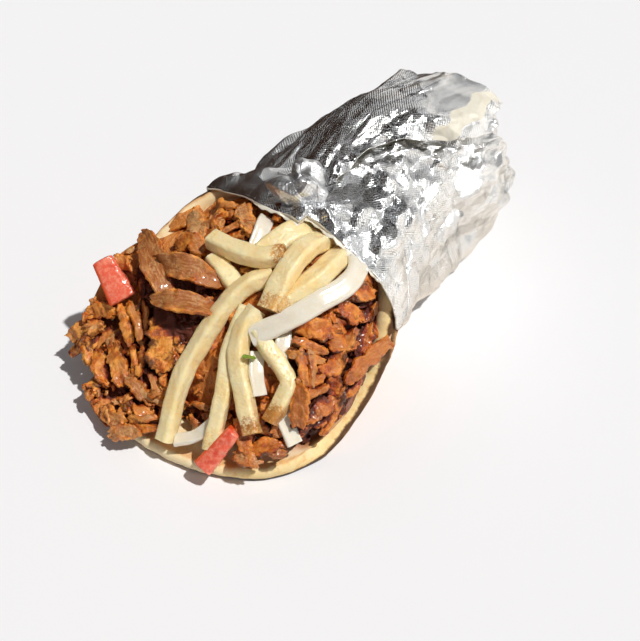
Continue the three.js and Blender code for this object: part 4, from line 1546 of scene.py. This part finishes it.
def floor_material(settings):
    nodes, finish = new_material("studio_floor")
    texture = nodes.noise(nodes.place(), 0.002, 2)
    base = nodes.blend(texture * 0.05, settings.floor_colour, (0.8, 0.8, 0.82, 1.0))
    # Painted reflection, seen only in glossy rays: the floor turns dark brown to the left and glows as a
    # bright band far back and to the right.
    glossy = nodes.add("ShaderNodeLightPath", output="Is Glossy Ray")
    side = nodes.add("ShaderNodeSeparateXYZ", {0: nodes.place()})
    x, y = side, Link(nodes, side.socket.node.outputs["Y"])
    painted_reflection_dark = nodes.ramp(x, -0.05, -0.09) * nodes.ramp(x + y, 0.15, 0.1)
    painted_reflection_colour = nodes.blend(painted_reflection_dark, colour("f3e9dc"), colour("3a2a20"))
    base = nodes.blend(glossy, base, painted_reflection_colour)
    painted_reflection_glow = nodes.blend(glossy * nodes.ramp(x + y, 0.15, 0.4), (0.0, 0.0, 0.0, 1.0), (0.9, 0.9, 0.88, 1.0))
    return finish(
        Base_Color=base, Roughness=0.9, Specular_IOR_Level=0.1, Emission_Color=painted_reflection_glow, Emission_Strength=1.0
    )


def make_stage(settings):
    """The floor, the light and the camera."""
    mesh = bpy.data.meshes.new("floor")
    side = 6.0
    corners = [(-side, -side, 0), (side, -side, 0), (side, side, 0), (-side, side, 0)]
    mesh.from_pydata(corners, [], [(0, 1, 2, 3)])
    mesh.materials.append(floor_material(settings))
    floor = bpy.data.objects.new("floor", mesh)
    bpy.context.scene.collection.objects.link(floor)

    target = Vector(settings.aim)
    turn, rise = np.radians(settings.camera_azimuth), np.radians(settings.camera_elevation)
    back = Vector((np.sin(turn) * np.cos(rise), -np.cos(turn) * np.cos(rise), np.sin(rise)))
    data = bpy.data.cameras.new("camera")
    data.sensor_width = 36
    data.angle = settings.camera_angle
    camera = bpy.data.objects.new("camera", data)
    camera.location = target + back * settings.camera_distance
    camera.rotation_mode = "QUATERNION"
    camera.rotation_quaternion = (-back).to_track_quat("-Z", "Y")
    data.clip_start, data.clip_end = 0.01, 20
    bpy.context.scene.collection.objects.link(camera)
    bpy.context.scene.camera = camera

    lamp = bpy.data.lights.new("key_light", "SUN")
    lamp.energy = settings.key_strength
    lamp.angle = settings.key_softness
    lamp.color = (1.0, 0.985, 0.96)
    key = bpy.data.objects.new("key_light", lamp)
    key.rotation_mode = "QUATERNION"
    key.rotation_quaternion = Vector((0.4, 0.12, 0.91)).to_track_quat("Z", "Y")
    bpy.context.scene.collection.objects.link(key)

    world = bpy.data.worlds.new("studio")
    world.use_nodes = True
    world.node_tree.nodes.clear()
    nodes = Nodes(world.node_tree)
    glossy = nodes.add("ShaderNodeLightPath", output="Is Glossy Ray")
    way = nodes.add("ShaderNodeSeparateXYZ", {0: nodes.add("ShaderNodeTexCoord", output="Generated")})
    height = Link(nodes, way.socket.node.outputs["Z"])
    toward = nodes.add(
        "ShaderNodeVectorMath",
        {0: nodes.add("ShaderNodeTexCoord", output="Generated"), 1: (1.0, 0.45, 0.0)},
        output="Value",
        operation="DOT_PRODUCT",
    )
    room = nodes.blend(nodes.ramp(height, 0.0, 0.9), colour("3a2a22"), colour("141414"))
    patches = nodes.noise(nodes.add("ShaderNodeTexCoord", output="Generated"), 0.2, 1, 0.5)
    lit = nodes.ramp(toward + (patches - 0.5) * 0.6, 0.37, 0.5)
    wall = nodes.blend(nodes.ramp(patches, 0.44, 0.58), (1.04, 1.03, 1.0, 1.0), (0.33, 0.325, 0.31, 1.0))
    room = nodes.blend(lit, room, wall)
    behind = nodes.add(
        "ShaderNodeVectorMath",
        {0: nodes.add("ShaderNodeTexCoord", output="Generated"), 1: (-0.47, 0.87, 0.15)},
        output="Value",
        operation="DOT_PRODUCT",
    )
    room = nodes.blend(nodes.ramp(behind + (patches - 0.5) * 0.06, 0.966, 0.982), room, (1.6, 1.6, 1.58, 1.0))
    room = nodes.blend(nodes.ramp(patches, 0.36, 0.33), room, (2.0, 1.98, 1.9, 1.0))
    light = nodes.blend(glossy, (*settings.fill_colour[:3], 1.0), room)
    shine = nodes.add("ShaderNodeBackground", {"Color": light, "Strength": 1.0})
    nodes.add("ShaderNodeOutputWorld", {"Surface": shine})
    bpy.context.scene.world = world
    bpy.context.scene.view_settings.view_transform = "Standard"


# ---------------------------------------------------------------- settings


def colour_setting(name, description, code):
    return bpy.props.FloatVectorProperty(
        name=name, description=description, size=4, min=0, max=1, subtype="COLOR", default=colour(code)
    )


class BreadSettings(bpy.types.PropertyGroup):
    sauce_colour: colour_setting("Sauce", "Colour of the sauce soaked into the bread", "c5712a")


class FoilSettings(bpy.types.PropertyGroup):
    foil_colour: colour_setting("Foil", "Colour of the bare foil", "d9dbde")
    paper_colour: colour_setting("Lining", "Colour of the paper lining", "f2efe4")


class MeatSettings(bpy.types.PropertyGroup):
    flesh_colour: colour_setting("Flesh", "Colour of the cut meat", "cc7c36")
    seared_colour: colour_setting("Seared", "Colour of the seared edges", "d8741c")
    sunk: bpy.props.FloatProperty(
        name="Sunk",
        description="How far the core lies under the top of the filling, in millimetres",
        default=2.5,
        min=0,
        max=8,
    )


class FrySettings(bpy.types.PropertyGroup):
    thickness: bpy.props.FloatProperty(
        name="Thickness", description="Thickness of a fry", default=0.007, unit="LENGTH"
    )
    colour: colour_setting("Fried", "Colour of the fried surface", "f9e6b6")
    browned_colour: colour_setting("Browned", "Colour of the browned ends", "b06f25")


class OnionSettings(bpy.types.PropertyGroup):
    colour: colour_setting("Flesh", "Colour of the onion", "f3eee2")


class TomatoSettings(bpy.types.PropertyGroup):
    skin_colour: colour_setting("Skin", "Colour of the tomato's skin", "ee5a2c")


class StageSettings(bpy.types.PropertyGroup):
    camera_azimuth: bpy.props.FloatProperty(
        name="Azimuth", description="Camera's turn round the sandwich in degrees", default=40.0
    )
    camera_elevation: bpy.props.FloatProperty(
        name="Elevation", description="Camera's height above the horizon in degrees", default=49.0
    )
    camera_distance: bpy.props.FloatProperty(
        name="Distance", description="From the aim to the camera", default=0.64, unit="LENGTH"
    )
    camera_angle: bpy.props.FloatProperty(
        name="Field of view", description="Camera's angle of view", default=np.radians(24.0), unit="ROTATION"
    )
    aim: bpy.props.FloatVectorProperty(
        name="Aim", description="Where the camera looks", default=(0.009554, 0.000038, 0.0), unit="LENGTH"
    )
    key_strength: bpy.props.FloatProperty(
        name="Key", description="Strength of the key light", default=3.05, min=0
    )
    key_softness: bpy.props.FloatProperty(
        name="Softness", description="Width of the key light", default=np.radians(2.0), unit="ROTATION"
    )
    fill_colour: bpy.props.FloatVectorProperty(
        name="Fill", description="Light from all sides", size=3, subtype="COLOR", default=(0.17, 0.17, 0.175)
    )
    floor_colour: colour_setting("Floor", "Colour of the floor", "efeff1")


GROUPS = {
    "kebab_bread": BreadSettings,
    "kebab_foil": FoilSettings,
    "kebab_meat": MeatSettings,
    "kebab_fries": FrySettings,
    "kebab_onions": OnionSettings,
    "kebab_tomato": TomatoSettings,
    "kebab_stage": StageSettings,
}


# ---------------------------------------------------------------- operators


class KEBAB_OT_stage(bpy.types.Operator):
    """Makes the floor, the light and the camera"""

    bl_idname = "kebab.stage"
    bl_label = "Stage"

    def execute(self, context):
        make_stage(context.scene.kebab_stage)
        return {"FINISHED"}


class KEBAB_OT_bread(bpy.types.Operator):
    """Bakes the rolled flatbread with its browned rim"""

    bl_idname = "kebab.bread"
    bl_label = "Flatbread"

    def execute(self, context):
        mesh = bread_shape().mesh("bread_roll")
        material = bread_material(context.scene.kebab_bread)
        finish_piece(mesh, "bread_roll", "bread", ["flatbread"], [material])
        return {"FINISHED"}


class KEBAB_OT_foil(bpy.types.Operator):
    """Wraps the closed end in creased foil with a paper lining"""

    bl_idname = "kebab.foil"
    bl_label = "Foil"

    def execute(self, context):
        settings = context.scene.kebab_foil
        materials = [foil_material(settings), paper_material(settings)]
        shapes = {
            "foil_sleeve": foil_shell_shape(),
            "foil_flap": flap_shape(),
            "foil_knot": knot_shape(),
            "foil_lip": lip_shape(),
        }
        for name, shape in shapes.items():
            nodes = ["foil_wrap"] if name == "foil_sleeve" else []
            finish_piece(shape.mesh(name), name, "foil", nodes, materials)
        return {"FINISHED"}


class KEBAB_OT_meat(bpy.types.Operator):
    """Piles slices and shreds of meat over the core of the filling"""

    bl_idname = "kebab.meat"
    bl_label = "Meat"

    def execute(self, context):
        settings = context.scene.kebab_meat
        core, exposed = core_shape(settings.sunk)
        clear = []
        for paths, radius in ((FRIES, 3.9), (ONIONS, 3.0)):
            for points, _, _, _ in paths.values():
                line = spline(points, np.linspace(0, 1, 24))
                clear.append(np.hstack([line, np.full((24, 1), radius)]))
        for width, _, start, end, _ in TOMATOES.values():
            line = mix(np.array(start), np.array(end), np.linspace(0, 1, 6)[:, None])
            clear.append(np.hstack([line, np.full((6, 1), width * 0.4)]))
        turns = np.arange(-180.0, 180.0, 3.0)
        keep_off = 4.6 + 2.4 * bump(95, 60, turns) + 3 * bump(-118, 30, turns)
        clear.append(np.hstack([rim_point(np.radians(turns)), keep_off[:, None]]))
        shreds = shreds_shape(core, exposed, np.vstack(clear))
        slices = slices_shape()
        paint_crevice_shade([core, slices, shreds])
        material = meat_material(settings)
        finish_piece(core.mesh("meat_core"), "meat_core", "meat", ["meat_filling"], [material])
        finish_piece(slices.mesh("meat_slices"), "meat_slices", "meat", [], [material])
        finish_piece(shreds.mesh("meat_shreds"), "meat_shreds", "meat", [], [material])
        return {"FINISHED"}


class KEBAB_OT_fries(bpy.types.Operator):
    """Lays the fries over the meat"""

    bl_idname = "kebab.fries"
    bl_label = "Fries"

    def execute(self, context):
        settings = context.scene.kebab_fries
        values = {
            "Thickness": settings.thickness,
            "Corner": 0.0017,
            "Swell": 0.0006,
            "Swell Size": 0.008,
            "Grain": 0.00014,
            "Taper": 0.38,
            "Taper Length": 0.0026,
            "Steps": 90,
        }
        cut_strips(FRIES, "potato_strip", fry_material(settings), values)
        return {"FINISHED"}


class KEBAB_OT_onions(bpy.types.Operator):
    """Lays strips of onion among the fries"""

    bl_idname = "kebab.onions"
    bl_label = "Onion"

    def execute(self, context):
        settings = context.scene.kebab_onions
        values = {
            "Corner": 0.0012,
            "Cup": -70.0,
            "Swell": 0.0004,
            "Swell Size": 0.008,
            "Grain": 0.00006,
            "Taper": 0.8,
            "Taper Length": 0.011,
            "Steps": 70,
        }
        cut_strips(ONIONS, "onion_strip", onion_material(settings), values)
        return {"FINISHED"}


class KEBAB_OT_tomato(bpy.types.Operator):
    """Adds the cut pieces of tomato"""

    bl_idname = "kebab.tomato"
    bl_label = "Tomato"

    def execute(self, context):
        material = tomato_material(context.scene.kebab_tomato)
        for number, (node, sizes) in enumerate(TOMATOES.items(), 1):
            name = f"tomato_wedge_{number}"
            mesh = tomato_shape(*sizes, seed=80 + number).mesh(name)
            finish_piece(mesh, name, "tomato", [node], [material])
        return {"FINISHED"}


class KEBAB_OT_crumbs(bpy.types.Operator):
    """Strews browned crumbs over the meat and adds a chopped leaf"""

    bl_idname = "kebab.crumbs"
    bl_label = "Crumbs and leaf"

    def execute(self, context):
        base = bpy.data.objects["meat_core"]
        source = bpy.data.objects.new("crumb_source", base.data.copy())
        context.scene.collection.objects.link(source)
        material = crumb_material()
        front = (ROLL_TO_OBJECT[1] - 8) * MM
        values = {"Density": 60000.0, "Size": 0.0009, "Front": front, "Seed": 5, "Material": material}
        mesh = apply_tree(source, scatter_tree(), values, "meat_crumbs")
        mesh.materials.clear()
        finish_piece(mesh, "meat_crumbs", "meat", [], [material])
        finish_piece(leaf_shape().mesh("herb_leaf"), "herb_leaf", "onion", [], [leaf_material()])
        return {"FINISHED"}


OPERATORS = (
    KEBAB_OT_stage,
    KEBAB_OT_bread,
    KEBAB_OT_foil,
    KEBAB_OT_meat,
    KEBAB_OT_fries,
    KEBAB_OT_onions,
    KEBAB_OT_tomato,
    KEBAB_OT_crumbs,
)


class KEBAB_PT_panel(bpy.types.Panel):
    """Lists the steps that build the sandwich"""

    bl_label = "Doner kebab sandwich"
    bl_idname = "KEBAB_PT_panel"
    bl_space_type = "VIEW_3D"
    bl_region_type = "UI"
    bl_category = "Kebab"

    def draw(self, context):
        for operator in OPERATORS:
            self.layout.operator(operator.bl_idname)
        for key, group in GROUPS.items():
            box = self.layout.box()
            for name in group.__annotations__:
                box.prop(getattr(context.scene, key), name)


CLASSES = (*GROUPS.values(), *OPERATORS, KEBAB_PT_panel)


def register():
    for each in CLASSES:
        bpy.utils.register_class(each)
    for key, group in GROUPS.items():
        setattr(bpy.types.Scene, key, bpy.props.PointerProperty(type=group))


def unregister():
    for key in GROUPS:
        delattr(bpy.types.Scene, key)
    for each in reversed(CLASSES):
        bpy.utils.unregister_class(each)


def main():
    register()
    bpy.ops.kebab.stage()
    bpy.ops.kebab.bread()
    bpy.ops.kebab.foil()
    bpy.ops.kebab.meat()
    bpy.ops.kebab.fries()
    bpy.ops.kebab.onions()
    bpy.ops.kebab.tomato()
    bpy.ops.kebab.crumbs()


if __name__ == "__main__":
    main()
